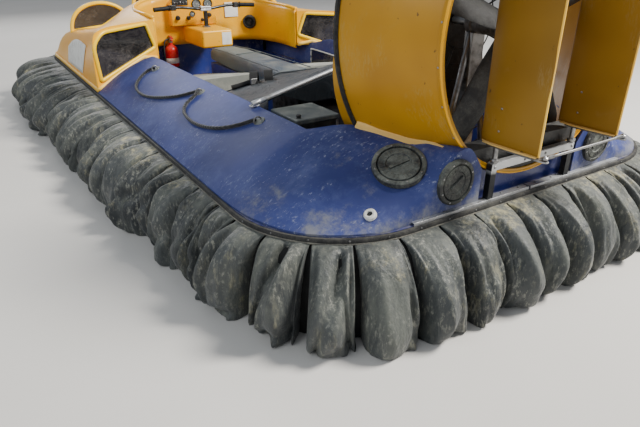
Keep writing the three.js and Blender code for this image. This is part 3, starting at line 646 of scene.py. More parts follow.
# Grab ropes: one a side, lying on the slope in two loops, held at three anchors
ROPE_RADIUS = 0.008
ROPE_PLAN = [
    (0.785, 0.270), (0.818, 0.240), (0.875, 0.262), (0.925, 0.330), (0.945, 0.450), (0.938, 0.600),
    (0.905, 0.750), (0.858, 0.880), (0.812, 0.950), (0.783, 0.990), (0.812, 1.012), (0.868, 1.030),
    (0.908, 1.100), (0.922, 1.250), (0.908, 1.390), (0.878, 1.495), (0.830, 1.572), (0.775, 1.622),
]
ROPE_ANCHORS = ((0.780, 0.268), (0.780, 0.992), (0.770, 1.634))
BULGE = 0.022


def slope_height(x):
    """Height of the side slope at a distance out from the middle line."""
    t = min(max((HALF_BEAM - x) / (HALF_BEAM - RIDGE_X), 0), 1)
    lift = between([(0, 0), (0.25, 0.75), (0.5, 1), (0.75, 0.75), (1, 0)], t) * BULGE
    return DECK_EDGE + (RIDGE_Z - DECK_EDGE) * t + lift


def add_rope(side, name):
    lift = ROPE_RADIUS / math.cos(math.atan2(0.210, 0.348)) + 0.0015
    plan = [(side * x, y, slope_height(x) + lift) for x, y in ROPE_PLAN]
    route = curve_through(plan, 2)
    data = bpy.data.curves.new(f"grab_rope_{name}", "CURVE")
    data.dimensions = "3D"
    data.bevel_depth = ROPE_RADIUS
    data.bevel_resolution = 3
    line = data.splines.new("POLY")
    line.points.add(len(route) - 1)
    for point, at in zip(line.points, route):
        point.co = (*at, 1)
    data.materials.append(rope_fibre.material)
    rope = bpy.data.objects.new(f"grab_rope_{name}", data)
    bpy.context.collection.objects.link(rope)
    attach(rope, "hull")
    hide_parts(f"rope_{name}")
    line_length(route)


for side, name in SIDES:
    add_rope(side, name)


# Deck outline as a line that can be walked by distance
def deck_rim():
    line = []
    arc_steps = 48

    def arc(cx, cy, a, b, first, last, steps):
        for i in range(steps + 1):
            t = math.radians(first + (last - first) * i / steps)
            line.append(Vector((cx + a * math.cos(t), cy + b * math.sin(t), 0)))

    corner_a = HALF_BEAM - STERN_CORNER_X
    corner_b = STERN_Y - STERN_START
    arc(STERN_CORNER_X, STERN_START, corner_a, corner_b, 0, 90, arc_steps)
    arc(-STERN_CORNER_X, STERN_START, corner_a, corner_b, 90, 180, arc_steps)
    arc(0, BOW_START, HALF_BEAM, BOW_DEPTH, 180, 360, 2 * arc_steps)
    line.append(line[0])
    return line


RIM = deck_rim()
RIM_MARKS = [0.0]
for first, second in zip(RIM, RIM[1:]):
    RIM_MARKS.append(RIM_MARKS[-1] + (second - first).length)
RIM_LENGTH = RIM_MARKS[-1]


def rim_mark(x, y):
    """Distance round the rim of the rim point nearest to a place."""
    near = min(range(len(RIM)), key=lambda i: (RIM[i] - Vector((x, y, 0))).length)
    return RIM_MARKS[near]


def rim_point(distance):
    distance %= RIM_LENGTH
    i = next(k for k, mark in enumerate(RIM_MARKS) if mark > distance)
    share = (distance - RIM_MARKS[i - 1]) / (RIM_MARKS[i] - RIM_MARKS[i - 1])
    return RIM[i - 1].lerp(RIM[i], share)


def rim_place(distance):
    """Point on the rim, the way along it and the way out from it."""
    along = (rim_point(distance + 0.05) - rim_point(distance - 0.05)).normalized()
    return rim_point(distance), along, Vector((along.y, -along.x, 0))


# Skirt: a row of limp fingers hung from the deck edge and resting on the floor
SPREAD = [
    # place along the craft, reach of the skirt out from the rim
    (-2.29, 0.4152),
    (-1.2, 0.445),
    (0.04, 0.33),
    (1.18, 0.29),
    (1.96, 0.15),
    (2.25, 0.175),
    (2.44, 0.26),
]
DROOP = [
    # share of the spread, height
    (0.04, 0.326),
    (0.3, 0.318),
    (0.58, 0.285),
    (0.79, 0.238),
    (0.93, 0.18),
    (1.0, 0.12),
    (0.97, 0.06),
    (0.89, 0.016),
    (0.76, 0.002),
    (0.5, 0.001),
    (0.2, 0.001),
]


FINGER_COLUMNS = 44
FINGER_WRAP = math.radians(118)
SKIRT_TOP = 0.3265
SKIRT_FOOT = 0.0015


def finger(low, high, seed, limp):
    """One finger between two marks on the rim; limp from 0, taut, to 1, slumped and folded."""
    rng = random.Random(seed)
    pitch = high - low
    centre = (low + high) / 2
    sway = 1.5 * noise.noise(Vector((centre * 1.1, 3, 0))) + rng.uniform(-0.3, 0.3)
    lean = pitch * sway * (0.25 + 0.75 * limp)
    plump = rng.uniform(0.84, 1.04)
    width = rng.uniform(0.74, 0.95)
    folds = [(rng.uniform(-0.7, 0.7), rng.uniform(-0.9, 0.9), rng.uniform(0.4, 1.0)) for _ in range(4)]
    kink = rng.uniform(0.35, 0.75)
    skew = rng.uniform(-1.6, 1.6)
    drift = Vector((seed * 3.7, seed * 1.3, 0))
    droop = curve_through([(a, z, 0) for a, z in DROOP], 4)
    rows = []
    for j, station in enumerate(droop):
        b = j / (len(droop) - 1)
        belly = math.sin(math.pi * min(b * 1.15, 1)) ** 0.7
        half = pitch * (0.485 + (width * 0.5 - 0.5) * belly)
        row = []
        for i in range(FINGER_COLUMNS + 1):
            a = 2 * i / FINGER_COLUMNS - 1
            theta = FINGER_WRAP * a
            side = math.copysign(abs(math.sin(theta)) ** 0.8, math.sin(theta))
            at, _, out = rim_place(centre + lean * b**1.3 + half * side)
            spread = between(SPREAD, at.y) * plump
            reach = station.x * spread
            core = reach * (0.92 - 0.5 * belly)
            bow = math.copysign(abs(math.cos(theta)) ** 0.6, math.cos(theta))
            reach = core + (reach - core) * bow
            where = Vector((a * 1.3, b * 1.7, 0)) + drift
            shift = noise.noise(where * 1.3) * 0.05
            for fold_at, turn, depth in folds:
                off = a - fold_at - turn * (b - 0.45)
                shift -= math.exp(-((off / 0.08) ** 2)) * 0.034 * depth * (0.3 + limp)
                shift += math.exp(-(((off - 0.18) / 0.12) ** 2)) * 0.018 * depth * (0.3 + limp)
            shift -= math.exp(-(((b - kink + 0.2 * a) / 0.05) ** 2)) * 0.024 * limp
            crumple = noise.noise(Vector((a * 3.4 + b * skew, b * 1.6, 5)) + drift)
            shift += (0.25 - abs(crumple)) * 0.03 * (0.6 + 0.6 * limp)
            shift += noise.noise(Vector((a * 8, b * 2, 9)) + drift) * 0.016 * math.exp(-3 * b)
            shift += noise.noise(Vector((a * 3, b * 9, 2)) + drift) * 0.014 * max(0, b - 0.45) * (1 + limp)
            shift *= min(1, b * 6) * min(1, (1 - b) * 6) * max(0, math.cos(theta)) ** 0.5
            height = station.y + shift * 0.3 * (1 if station.y > 0.05 else 0)
            sink = 0.03 * (1 - math.cos(theta)) * belly
            place = at + out * (reach + shift)
            row.append(Vector((place.x, place.y, min(max(height - sink, SKIRT_FOOT), SKIRT_TOP))))
        rows.append(row)
    return skin(rows, closed_row=False)


def skirt_run(start, end, seed, limp, pitch):
    """All the fingers of one run, of uneven widths, and the near-black sheet behind them, which is painted
    shade for the gaps between fingers.
    """
    rng = random.Random(seed)
    count = round((end - start) / pitch)
    shares = [rng.uniform(0.8, 1.2) for _ in range(count)]
    shapes = []
    low = start
    for i, share in enumerate(shares):
        high = low + (end - start) * share / sum(shares)
        shapes.append(finger(low, high, seed + i, limp * rng.uniform(0.4, 1.25)))
        low = high
    gap_sheet = []
    for i in range(count * 2 + 1):
        at, _, out = rim_place(start + (end - start) * i / (count * 2))
        spread = between(SPREAD, at.y)
        gap_sheet.append([
            at + out * (spread * share) + Vector((0, 0, z))
            for share, z in ((0.0, 0.325), (0.25, 0.28), (0.38, 0.16), (0.36, 0.004))
        ])
    return merged(*shapes), skin(gap_sheet, closed_row=False)


corner_x = STERN_CORNER_X + (HALF_BEAM - STERN_CORNER_X) * math.sqrt(0.5)
corner_y = STERN_START + (STERN_Y - STERN_START) * math.sqrt(0.5)
port_stern = rim_mark(corner_x, corner_y)
starboard_stern = rim_mark(-corner_x, corner_y)
starboard_bow = rim_mark(-HALF_BEAM, BOW_START)
port_bow = rim_mark(HALF_BEAM, BOW_START)
RUNS = [
    # name, start, end, seed, how limp, width of a finger
    ("stern", port_stern, starboard_stern, 100, 0.35, 0.165),
    ("starboard", starboard_stern, starboard_bow, 200, 0.9, 0.19),
    ("bow", starboard_bow, port_bow, 300, 0.6, 0.24),
    ("port", port_bow, port_stern + RIM_LENGTH, 400, 1.0, 0.185),
]
for name, start, end, seed, limp, pitch in RUNS:
    fingers, gap_sheet = skirt_run(start, end, seed, limp, pitch)
    build(f"skirt_fingers_{name}", fingers, skirt_fabric, covers=f"skirt_{name}", crisp=0)
    # Sheet behind the fingers, painted near black as the shade in their gaps.
    build(f"skirt_gap_shade_sheet_{name}", gap_sheet, gap_shade_paint, crisp=0)


# Edge strip, and the bolts that clamp the skirt under it
def rim_line(out, height):
    line = []
    count = 260
    for i in range(count):
        at, _, away = rim_place(RIM_LENGTH * i / count)
        line.append(at + away * out + Vector((0, 0, height)))
    return line


strip = swept(
    rim_line(0.006, 0.336),
    [(-0.007, 0.008), (0.005, 0.009), (0.008, 0.004), (0.008, -0.006), (0.004, -0.009), (-0.005, -0.008)],
    closed=True,
)
build("edge_rubber", strip, trim_rubber, covers="edge_strip", crisp=50)
build("edge_cord", tube(rim_line(0.011, 0.326), 0.004, 8, closed=True), cord_grey)
heads = []
for i in range(96):
    at, _, out = rim_place(RIM_LENGTH * (i + 0.5) / 96)
    heads.append(bolt(at + out * 0.013 + Vector((0, 0, 0.337)), out, 0.0042, 0.003))
build("edge_bolts", merged(*heads), cast)


# Sloping side bodies
SIDE_ROWS = [
    # outer edge x and y, ridge x, y and z, inner edge x and y, bulge
    (1.046, 2.072, 0.610, 1.990, 0.586, 0.560, 1.975, 0.014),
    (0.985, 2.244, 0.545, 2.070, 0.586, 0.480, 2.050, 0.012),
    (0.884, 2.350, 0.485, 2.175, 0.576, 0.420, 2.150, 0.010),
    (0.740, 2.419, 0.435, 2.280, 0.565, 0.350, 2.270, 0.009),
    (0.612, 2.426, 0.400, 2.426, 0.575, 0.277, 2.426, 0.010),
]


def side_section(row):
    ex, ey, rx, ry, rz, ix, iy, bulge = row
    slope = []
    for k in range(9):
        t = k / 8
        lift = bulge * math.sin(math.pi * t) ** 0.9
        height = DECK_EDGE + (rz - DECK_EDGE) * t + lift
        slope.append(Vector((ex + (rx - ex) * t, ey + (ry - ey) * t, height)))
    inner = Vector((ix, iy, KNEE_Z))
    ridge = slope[-1]
    over = ridge.lerp(inner, 0.45)
    over.z = rz - 0.006
    crown = curve_through([slope[-2], ridge - Vector((0, 0, 0.004)), over, inner], 4)[1:]
    base = Vector((ix, iy, DECK_TOP + 0.0003))
    return [Vector((ex, ey, DECK_TOP + 0.0003)), *slope[:-2], *crown, base]


def side_body():
    straight = []
    for i in range(41):
        y = -1.056 + 2.956 * i / 40
        full = min(1, max(0, (y + 0.3) / 0.3))
        full = full * full * (3 - 2 * full)
        ridge_x = RIDGE_X - 0.022 * (1 - full)
        ridge_z = RIDGE_Z - 0.052 * (1 - full)
        straight.append((HALF_BEAM, y, ridge_x, y, ridge_z, 0.665, y, 0.008 + (BULGE - 0.008) * full))
    controls = [side_section(row) for row in straight[-2:] + SIDE_ROWS]
    columns = [curve_through(column, 5) for column in zip(*controls)]
    stern = [list(row) for row in zip(*columns)][5:]
    rows = [side_section(row) for row in straight[:-2]] + stern
    # Soft dents and slack in the fabric
    for row in rows:
        for k, point in enumerate(row):
            if 1 < k < len(row) - 2:
                point.z += 0.0035 * noise.noise(point * 4.0)
    return skin(rows)


for side, name in SIDES:
    fabric = sided(side_body(), side)
    build(f"side_fabric_{name}", fabric, blue_fabric, covers=f"side_body_{name}", crisp=42)
    # Patches and eyes that hold the rope
    patches, eyes = [], []
    for x, y in ROPE_ANCHORS:
        at = Vector((side * x, y, slope_height(x)))
        normal = Vector((side * 0.51, 0, 0.86))
        patches.append(turned([(0, 0.003), (0.02, 0.0028), (0.03, 0.001), (0.031, -0.004)], at, normal, 20))
        eye = [at + normal * 0.006 + spoke(-t * math.pi / 8) * 0.017 for t in range(16)]
        eyes.append(tube(eye, 0.0035, 8, closed=True, up=AFT))
    build(f"rope_patches_{name}", merged(*patches), lid_grey)
    build(f"rope_eyes_{name}", merged(*eyes), steel)


# Hull tray, engine block and seat base: CAD solids with better finishes
repaint("hull_tray", blue_shell, 0.003)
repaint("engine_block", cast, 0.012)
repaint("seat_base", blue_shell, 0.012)


# Nose cowl: half sections from the deck edge to the middle line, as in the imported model
COWL_ROWS = [
    # y, shoulder x, shoulder z, pod x, pod z, hump x, hump z, centre z
    (-0.124, 1.045, 0.640, 0.965, 0.737, 0.620, 0.753, 0.776),
    (-0.590, 1.005, 0.632, 0.860, 0.705, 0.600, 0.778, 0.860),
    (-0.990, 0.985, 0.612, 0.780, 0.662, 0.560, 0.795, 0.925),
    (-1.290, 0.965, 0.598, 0.712, 0.622, 0.500, 0.745, 0.865),
    (-1.720, 0.945, 0.535, 0.660, 0.560, 0.420, 0.660, 0.745),
    (-1.990, 0.815, 0.475, 0.560, 0.500, 0.340, 0.570, 0.622),
    (-2.190, 0.520, 0.418, 0.360, 0.442, 0.220, 0.482, 0.502),
    (-2.262, 0.300, 0.385, 0.210, 0.396, 0.120, 0.412, 0.420),
]
RECESS = [(0.577, -0.299), (0.590, -0.690), (0.530, -0.920), (0.410, -1.005), (0.280, -1.030)]
WINDOW = [(1.016, 0.426), (1.030, 0.640), (0.964, 0.708), (0.652, 0.729), (0.600, 0.574)]


def bow_half(y):
    if y > BOW_START:
        return HALF_BEAM
    return HALF_BEAM * math.sqrt(max(0, 1 - ((BOW_START - y) / BOW_DEPTH) ** 2))


def cowl_back(x):
    """The cheeks' back faces slant forward towards the cockpit."""
    return COWL_BACK - COWL_SLANT * (1.05 - min(1.05, max(0.577, abs(x))))


def slope_front(x):
    """Height of the side fabric under the cheek."""
    t = min(1, max(0, (HALF_BEAM - abs(x)) / (HALF_BEAM - 0.69)))
    return DECK_EDGE + 0.159 * t + 0.008 * math.sin(math.pi * t)


def cowl_row(row, inset, floor_z):
    y, sx, sz, px, pz, hx, hz, cz = row
    foot = bow_half(y) - 0.004 - inset
    half = [
        (foot, DECK_EDGE),
        (min(sx, foot) - inset * 0.4, sz - inset * 0.8),
        (px - inset * 0.3, pz - inset),
        (hx - inset * 0.6, hz - inset),
        (hx * 0.45, (hz + 2 * cz) / 3 - inset),
    ]
    port = [Vector((x, y, z)) for x, z in half]
    middle = Vector((0, y, cz - inset))
    around = curve_through([*port, middle, *mirrored_line(port)], 5)
    if y > -0.59:
        share = (y + 0.59) / (COWL_BACK + 0.59)
        for point in around:
            point.y += (cowl_back(point.x) - COWL_BACK) * share
    floor = []
    for k, point in enumerate(around[: len(around) // 2 + 1]):
        x = min(point.x, foot - 0.001 * k)
        floor.append(Vector((x, point.y, floor_z)))
    floor += mirrored_line(floor[:-1])
    return around + floor[::-1]


def cowl_solid(inset, floor_z):
    """The whole nose as a closed solid, or its hollow when inset by the wall."""
    source = COWL_ROWS if inset == 0 else COWL_ROWS[:-1]
    columns = [curve_through([Vector((row[k], 0, 0)) for row in source], 5) for k in range(8)]
    finer = [cowl_row([p.x for p in row], inset, floor_z) for row in zip(*columns)]
    if inset:
        for point in finer[0]:
            point.y -= inset
    points, faces = skin(finer, capped=False)
    count = len(finer[0])
    for start, step in ((0, 1), (len(points) - count, -1)):
        for k in range(count // 2 - 1):
            faces.append([start + i for i in (k, k + 1, count - 2 - k, count - 1 - k)][::step])
    return points, faces


def cut(solid, *tools):
    """Cut closed shapes out of a piece, and leave its mesh finished."""
    for shape in tools:
        cutter = bpy.data.objects.new("cutter", mesh_of("cutter", shape))
        bpy.context.collection.objects.link(cutter)
        tool = solid.modifiers.new("cut", "BOOLEAN")
        tool.object = cutter
        tool.operation = "DIFFERENCE"
        tool.solver = "EXACT"
    graph = bpy.context.evaluated_depsgraph_get()
    finished = bpy.data.meshes.new_from_object(solid.evaluated_get(graph), depsgraph=graph)
    used = [tool.object for tool in solid.modifiers if tool.type == "BOOLEAN"]
    solid.modifiers.clear()
    solid.data = finished
    for cutter in used:
        bpy.data.objects.remove(cutter)


def window_outline(side, back, grow=0.0):
    """Cheek window with rounded corners, some way behind the cheek's back face."""
    middle = Vector((0.85, 0.61))
    corners = []
    for x, z in WINDOW:
        reach = Vector((x, z)) - middle
        corners.append(middle + reach * (1 + grow / reach.length))
    line = []
    for i, corner in enumerate(corners):
        before = corners[i - 1]
        after = corners[(i + 1) % len(corners)]
        radius = min((0.018, 0.045, 0.045, 0.02, 0.02)[i], (corner - before).length * 0.4)
        start = corner + (before - corner).normalized() * radius
        end = corner + (after - corner).normalized() * radius
        for k in range(7):
            t = k / 6
            p = start * (1 - t) ** 2 + corner * 2 * t * (1 - t) + end * t * t
            line.append(Vector((side * p.x, cowl_back(p.x) + back, p.y)))
    return line


COWL_FOOT = 0.3455
RECESS_X, RECESS_BACK = 0.577, 0.05
cowl = build("nose_shell", cowl_solid(0, COWL_FOOT), yellow, covers="nose_cowl", crisp=0)
half_recess = [Vector((x, y, 0)) for x, y in RECESS]
recess = curve_through([*half_recess, *mirrored_line(half_recess)], 5)
recess_plan = [Vector((RECESS_X, RECESS_BACK, 0)), *recess, Vector((-RECESS_X, RECESS_BACK, 0))]
recess_start = cowl_back(RECESS_X) - 0.004
rim_plan = [Vector((RECESS_X, recess_start, 0)), *recess[3:-3], Vector((-RECESS_X, recess_start, 0))]
cut(
    cowl,
    cowl_solid(COWL_WALL, 0.2),
    slab([p + Vector((0, 0, 0.1)) for p in recess_plan], (0, 0, 1.2)),
    block((-0.67, -0.345, 0.3), (0.67, 0.06, 0.49)),
    slab(window_outline(1, -0.06), (0, 0.12, 0)),
    slab(window_outline(-1, -0.06), (0, 0.12, 0)),
)
cowl.data.materials.clear()
cowl.data.materials.append(yellow.material)
cowl.data.shade_smooth()
cowl.data.set_sharp_from_angle(angle=math.radians(38))


COWL_HALVES = [
    (y, [(0, cz), (hx * 0.45, (hz + 2 * cz) / 3), (hx, hz), (px, pz), (sx, sz), (bow_half(y), DECK_EDGE)])
    for y, sx, sz, px, pz, hx, hz, cz in sorted(COWL_ROWS)
]


def cowl_top(x, y):
    """Height of the outside of the nose over a place, between its rows."""
    for (low, first), (high, second) in zip(COWL_HALVES, COWL_HALVES[1:]):
        if low <= y <= high:
            t = (y - low) / (high - low)
            return between(first, abs(x)) * (1 - t) + between(second, abs(x)) * t
    return between(COWL_HALVES[-1][1], abs(x))


# Rounded beads along the cowl's edges
BEAD_Z = 0.364
base_line = [Vector((bow_half(y) - 0.002, y, BEAD_Z)) for y in [-0.118 - i * 0.05 for i in range(33)]]
for i in range(1, 17):
    t = math.radians(90 * i / 16)
    bead_y = BOW_START - (BOW_DEPTH - 0.004) * math.sin(t)
    base_line.append(Vector(((HALF_BEAM - 0.002) * math.cos(t), bead_y, BEAD_Z)))
BEAD_SECTION = [(-0.006, -0.011), (0.008, -0.011), (0.013, -0.003), (0.009, 0.008), (-0.002, 0.013)]
SILL_SECTION = [(-0.012, -0.012), (0.012, -0.012), (0.014, 0.006), (0.006, 0.014), (-0.008, 0.014)]
FRAME_SECTION = [
    (-0.012, -0.006), (0.013, -0.006), (0.012, 0.004), (0.007, 0.009), (-0.007, 0.009), (-0.011, 0.004),
]
for side, name in SIDES:
    build(f"cowl_base_bead_{name}", sided(swept(base_line, BEAD_SECTION), side), pale_edge_and_glint_yellow, crisp=0)
    # Sill that follows the slope under the cheek window
    stations = [(x, slope_front(x) + 0.010) for x in [1.056 - 0.0282 * i for i in range(14)]]
    stations += [(x, 0.498 + 0.18 * (x - 0.585)) for x in (0.66, 0.62, 0.585)]
    sill = [Vector((x, cowl_back(x) + 0.004, z)) for x, z in stations]
    build(f"cheek_sill_{name}", sided(swept(sill, SILL_SECTION), side), pale_edge_and_glint_yellow, crisp=0)
    frame_line = window_outline(side, 0.003, 0.012)
    frame_rim = swept(frame_line, FRAME_SECTION, closed=True, up=AFT)
    # Frame in the lighter gelcoat copy, a painted highlight.
    build(f"window_frame_{name}", frame_rim, lit_frame_yellow, crisp=0)
    repaint(f"side_window_{name}", pane)

coaming = [Vector((p.x, p.y, cowl_top(p.x, p.y) + 0.002)) for p in rim_plan]
build("cockpit_coaming", tube(coaming, 0.014, 12), yellow, crisp=0)

# Dash wall round the front of the cockpit
DASH_LOW = 0.4725
wall_rows = []
for k in range(9):
    row = []
    for p in rim_plan:
        rise = cowl_top(p.x, p.y) - 0.004 - DASH_LOW
        row.append(Vector((p.x, p.y, DASH_LOW + rise * k / 8)))
    wall_rows.append(row)
build("dash_wall", skin(wall_rows, closed_row=False), yellow, covers="dashboard", crisp=0, thick=0.012)
hem = [Vector((p.x, p.y - 0.006, 0.474)) for p in rim_plan]
build("dash_hem", tube(hem, 0.008, 8), yellow, crisp=0)

# Arched screens
SCREENS = [
    # name, centre x, half width, foot y, foot z, rise
    ("port", 0.720, 0.250, -1.290, 0.566, 0.250),
    ("starboard", -0.720, 0.250, -1.290, 0.566, 0.250),
    ("centre", 0.0, 0.450, -1.330, 0.690, 0.330),
]
for name, cx, half, y, z, rise in SCREENS:
    arch = []
    for i in range(37):
        t = math.pi * i / 36
        x = cx + (half - 0.011) * math.cos(t)
        arch.append(Vector((x, y, max(z + (rise - 0.011) * math.sin(t) ** 0.75, cowl_top(x, y) - 0.02))))
    # Arch and sill in the lighter gelcoat copy, a painted highlight.
    build(f"screen_arch_{name}", swept(arch, ring(0.015, 12), up=AFT), lit_frame_yellow, crisp=0)
    sill = []
    for i in range(19):
        x = cx + (half - 0.02) * (1 - 2 * i / 18)
        sill.append(Vector((x, y, cowl_top(x, y) + 0.004)))
    build(f"screen_sill_{name}", tube(sill, 0.013, 10), lit_frame_yellow, crisp=0)
    repaint(f"screen_{name}", pane)

# Blank plate on the outer face of the port cheek, laid on the cowl's surface
cowl_skin = BVHTree.FromPolygons(*cowl_solid(0, COWL_FOOT))
plate_rows = []
for i in range(13):
    u = i / 12
    top = 0.604 - 0.10 * u**4
    row = []
    for k in range(9):
        v = k / 8
        y = -0.60 - 0.56 * u + 0.17 * v * (1 - u) - 0.02 * u * v
        z = 0.392 + (top - 0.392) * v
        spot, normal, _, _ = cowl_skin.ray_cast(Vector((1.4, y, z)), Vector((-1, 0, 0)))
        row.append(spot + normal * 0.0035)
    plate_rows.append(row)
build("cheek_plate", skin(plate_rows, closed_row=False), white_label, crisp=0, thick=0.002)


# Seat: a straddle cushion on its base, crowned, with piped edges
SEAT_FRONT, SEAT_LENGTH = -0.53, 1.17
SEAT_FOOT, SEAT_MIDDLE = 0.3965, 0.44


def seat_shape():
    rows = []
    for i in range(41):
        t = i / 40
        y = SEAT_FRONT + SEAT_LENGTH * i / 40
        end = min(1, min(t, 1 - t) / 0.035) ** 0.5
        half = 0.112 + 0.018 * t
        top = 0.488 + 0.014 * min(1, t * 4)
        crown = 0.010 + 0.004 * noise.noise(Vector((0, y * 6, 3)))
        row = []
        for k in range(33):
            turn = math.radians(-115 + 230 * k / 32)
            wide = math.copysign(abs(math.sin(turn)) ** 0.45, math.sin(turn))
            tall = math.copysign(abs(math.cos(turn)) ** 0.5, math.cos(turn))
            z = SEAT_MIDDLE + (top - SEAT_MIDDLE + crown * math.cos(turn)) * tall * (0.72 + 0.28 * end)
            x = wide * half * (0.86 + 0.14 * end)
            x *= 1 + 0.012 * noise.noise(Vector((k * 0.4, y * 9, 0)))
            row.append(Vector((x, y, max(z, SEAT_FOOT))))
        rows.append(row)
    return skin(rows)


def puff(solid, pressure, cap):
    """Swell a padded piece with cloth pressure, moving no point further than the cap."""
    before = [v.co.copy() for v in solid.data.vertices]
    cloth = solid.modifiers.new("swell", "CLOTH")
    cloth.settings.use_pressure = True
    cloth.settings.uniform_pressure_force = pressure
    cloth.settings.tension_stiffness = 30
    cloth.settings.bending_stiffness = 2
    cloth.settings.effector_weights.gravity = 0
    group = solid.vertex_groups.new(name="held")
    group.add([i for i, co in enumerate(before) if co.z < SEAT_FOOT + 0.0055], 1, "REPLACE")
    cloth.settings.vertex_group_mass = "held"
    for step in range(1, 17):
        bpy.context.scene.frame_set(step)
    graph = bpy.context.evaluated_depsgraph_get()
    after = [v.co.copy() for v in solid.evaluated_get(graph).data.vertices]
    solid.modifiers.remove(cloth)
    solid.vertex_groups.clear()
    for vertex, old, new in zip(solid.data.vertices, before, after):
        move = new - old
        if move.length > cap:
            move *= cap / move.length
        vertex.co = old + move
    bpy.context.scene.frame_set(1)


seat = build("seat_cushion_vinyl", seat_shape(), vinyl, covers="seat_cushion", crisp=0)
puff(seat, 3.0, 0.007)
seat.modifiers.new("smooth surface", "SUBSURF").levels = 1
pipes = []
for side, _ in SIDES:
    pipe = []
    for i in range(25):
        t = i / 24
        pipe.append((side * (0.103 + 0.016 * t), -0.505 + 1.12 * t, 0.501 + 0.012 * min(1, i / 6)))
    pipes.append(pipe)
cross = [(0.1 - 0.2 * i / 8, -0.04, 0.517 + 0.004 * math.sin(math.pi * i / 8)) for i in range(9)]
piping = merged(*[tube(p, 0.0035, 8) for p in pipes], tube(cross, 0.003, 8))
build("seat_piping", piping, vinyl, crisp=0)


# Footboards: pale moulded wedges with raised tread lines
TREAD = block((-0.16, -0.005, -0.002), (0.16, 0.005, 0.0035))
TREAD_SLOPE = Matrix.Rotation(math.radians(9.9), 4, "X")
for side, name in SIDES:
    repaint(f"footboard_{name}", pale_shell, 0.012, 3)
    treads = []
    for i in range(9):
        y = 0.02 + i * 0.034
        z = 0.305 + (y + 0.54) * 0.175
        treads.append(moved(TREAD, Matrix.Translation((side * 0.38, y, z)) @ TREAD_SLOPE))
    build(f"footboard_treads_{name}", merged(*treads), pale_shell, bevel=0.0015, bevel_steps=2)


# Fire extinguisher: domed bottle, valve, squeeze handle, hose and band
BOTTLE = Vector((0.26, -0.9957, 0))


def on_bottle(profile, count=32):
    """Profile of (radius, height) pairs turned about the bottle's middle."""
    return turned(profile, BOTTLE, UP, count)


def handle_blade(outline):
    """Flat blade of the handle from an outline of (back, height) pairs."""
    return slab([BOTTLE + Vector((-0.008, y, z)) for y, z in outline], (0.016, 0, 0))


bottle_profile = [
    (0.0, 0.2126), (0.044, 0.2128), (0.053, 0.22), (0.055, 0.232), (0.055, 0.43), (0.052, 0.447),
    (0.042, 0.462), (0.026, 0.472), (0.017, 0.478), (0.016, 0.5), (0.0, 0.5),
]
build("extinguisher_bottle", on_bottle(bottle_profile), red, covers="fire_extinguisher", crisp=50)
band = on_bottle([(0.0545, 0.33), (0.0562, 0.331), (0.0562, 0.372), (0.0545, 0.373)])
build("extinguisher_blank_band", band, white_label, crisp=0)
valve = [(0.0, 0.496), (0.02, 0.496), (0.02, 0.512), (0.013, 0.517), (0.013, 0.54), (0.0, 0.541)]
build("extinguisher_valve", on_bottle(valve, 20), steel)
lever = [(-0.016, 0.536), (0.02, 0.541), (0.062, 0.529), (0.062, 0.535), (0.02, 0.548), (-0.016, 0.55)]
carry = [(-0.01, 0.524), (0.055, 0.512), (0.055, 0.517), (-0.01, 0.53)]
build("extinguisher_handle", merged(handle_blade(lever), handle_blade(carry)), red, bevel=0.0015)
HOSE_ROUTE = [
    (0.014, 0, 0.522), (0.045, 0.005, 0.515), (0.062, 0.012, 0.46), (0.0635, 0.012, 0.39),
    (0.0635, 0.01, 0.34),
]
hose_line = curve_through([BOTTLE + Vector(p) for p in HOSE_ROUTE], 5)
build("extinguisher_hose", tube(hose_line, 0.0065, 10), black, crisp=0)
strap = on_bottle([(0.0552, 0.285), (0.0572, 0.286), (0.0572, 0.302), (0.0552, 0.303)])
backing = block((0.228, -1.0597, 0.262), (0.292, -1.047, 0.43))
build("extinguisher_bracket", merged(strap, backing), black, bevel=0.001)


# Instrument panel: a rounded binnacle with dials, a switch panel and knobs
def dial(x, z, radius, y):
    rounded = [(0.82, 0.001), (0.86, 0.009), (1, 0.010), (1.04, 0.004), (1.04, -0.004)]
    bezel = turned([(radius * share, out) for share, out in rounded], (x, y, z), AFT, 28)
    face = turned([(0, 0.0015), (radius * 0.84, 0.0015), (radius * 0.84, -0.002)], (x, y, z), AFT, 28)
    marks = []
    for i in range(11):
        t = math.radians(-135 + 27 * i)
        place = Matrix.Translation((x, y + 0.002, z)) @ Matrix.Rotation(t, 4, "Y")
        marks.append(moved(block((-0.0009, 0, radius * 0.6), (0.0009, 0.0012, radius * 0.78)), place))
    needle = Matrix.Translation((x, y + 0.003, z)) @ Matrix.Rotation(math.radians(-120 + 900 * x), 4, "Y")
    marks.append(moved(block((-0.0012, 0, -radius * 0.15), (0.0012, 0.0015, radius * 0.66)), needle))
    return bezel, face, merged(*marks)


PANEL_Y = -0.948
panel_outline = [
    (-0.148, 0.622), (-0.148, 0.80), (-0.10, 0.846), (0.20, 0.846), (0.244, 0.80), (0.244, 0.622),
]
panel = slab([(x, -1.028, z) for x, z in panel_outline], (0, 0.08, 0))
build("instrument_binnacle", panel, yellow, covers="instrument_panel", bevel=0.012, bevel_steps=4)
DIALS = [
    # x, z, radius
    (0.022, 0.79, 0.038),
    (-0.078, 0.79, 0.038),
    (0.063, 0.715, 0.022),
]
bezels, faces, marks = zip(*[dial(x, z, radius, PANEL_Y) for x, z, radius in DIALS])
build("dial_bezels", merged(*bezels), black, crisp=30)
build("dial_faces", merged(*faces), dial_grey, crisp=30)
build("dial_marks", merged(*marks), white_label, crisp=30)
switch_board = block((0.095, PANEL_Y, 0.785), (0.228, PANEL_Y + 0.006, 0.836))
build("switch_board", switch_board, black, bevel=0.002)
SWITCH_Z = 0.806
NUT = [(0, 0.009), (0.005, 0.009), (0.0065, 0.006), (0.0065, 0)]
toggles, nuts = [], []
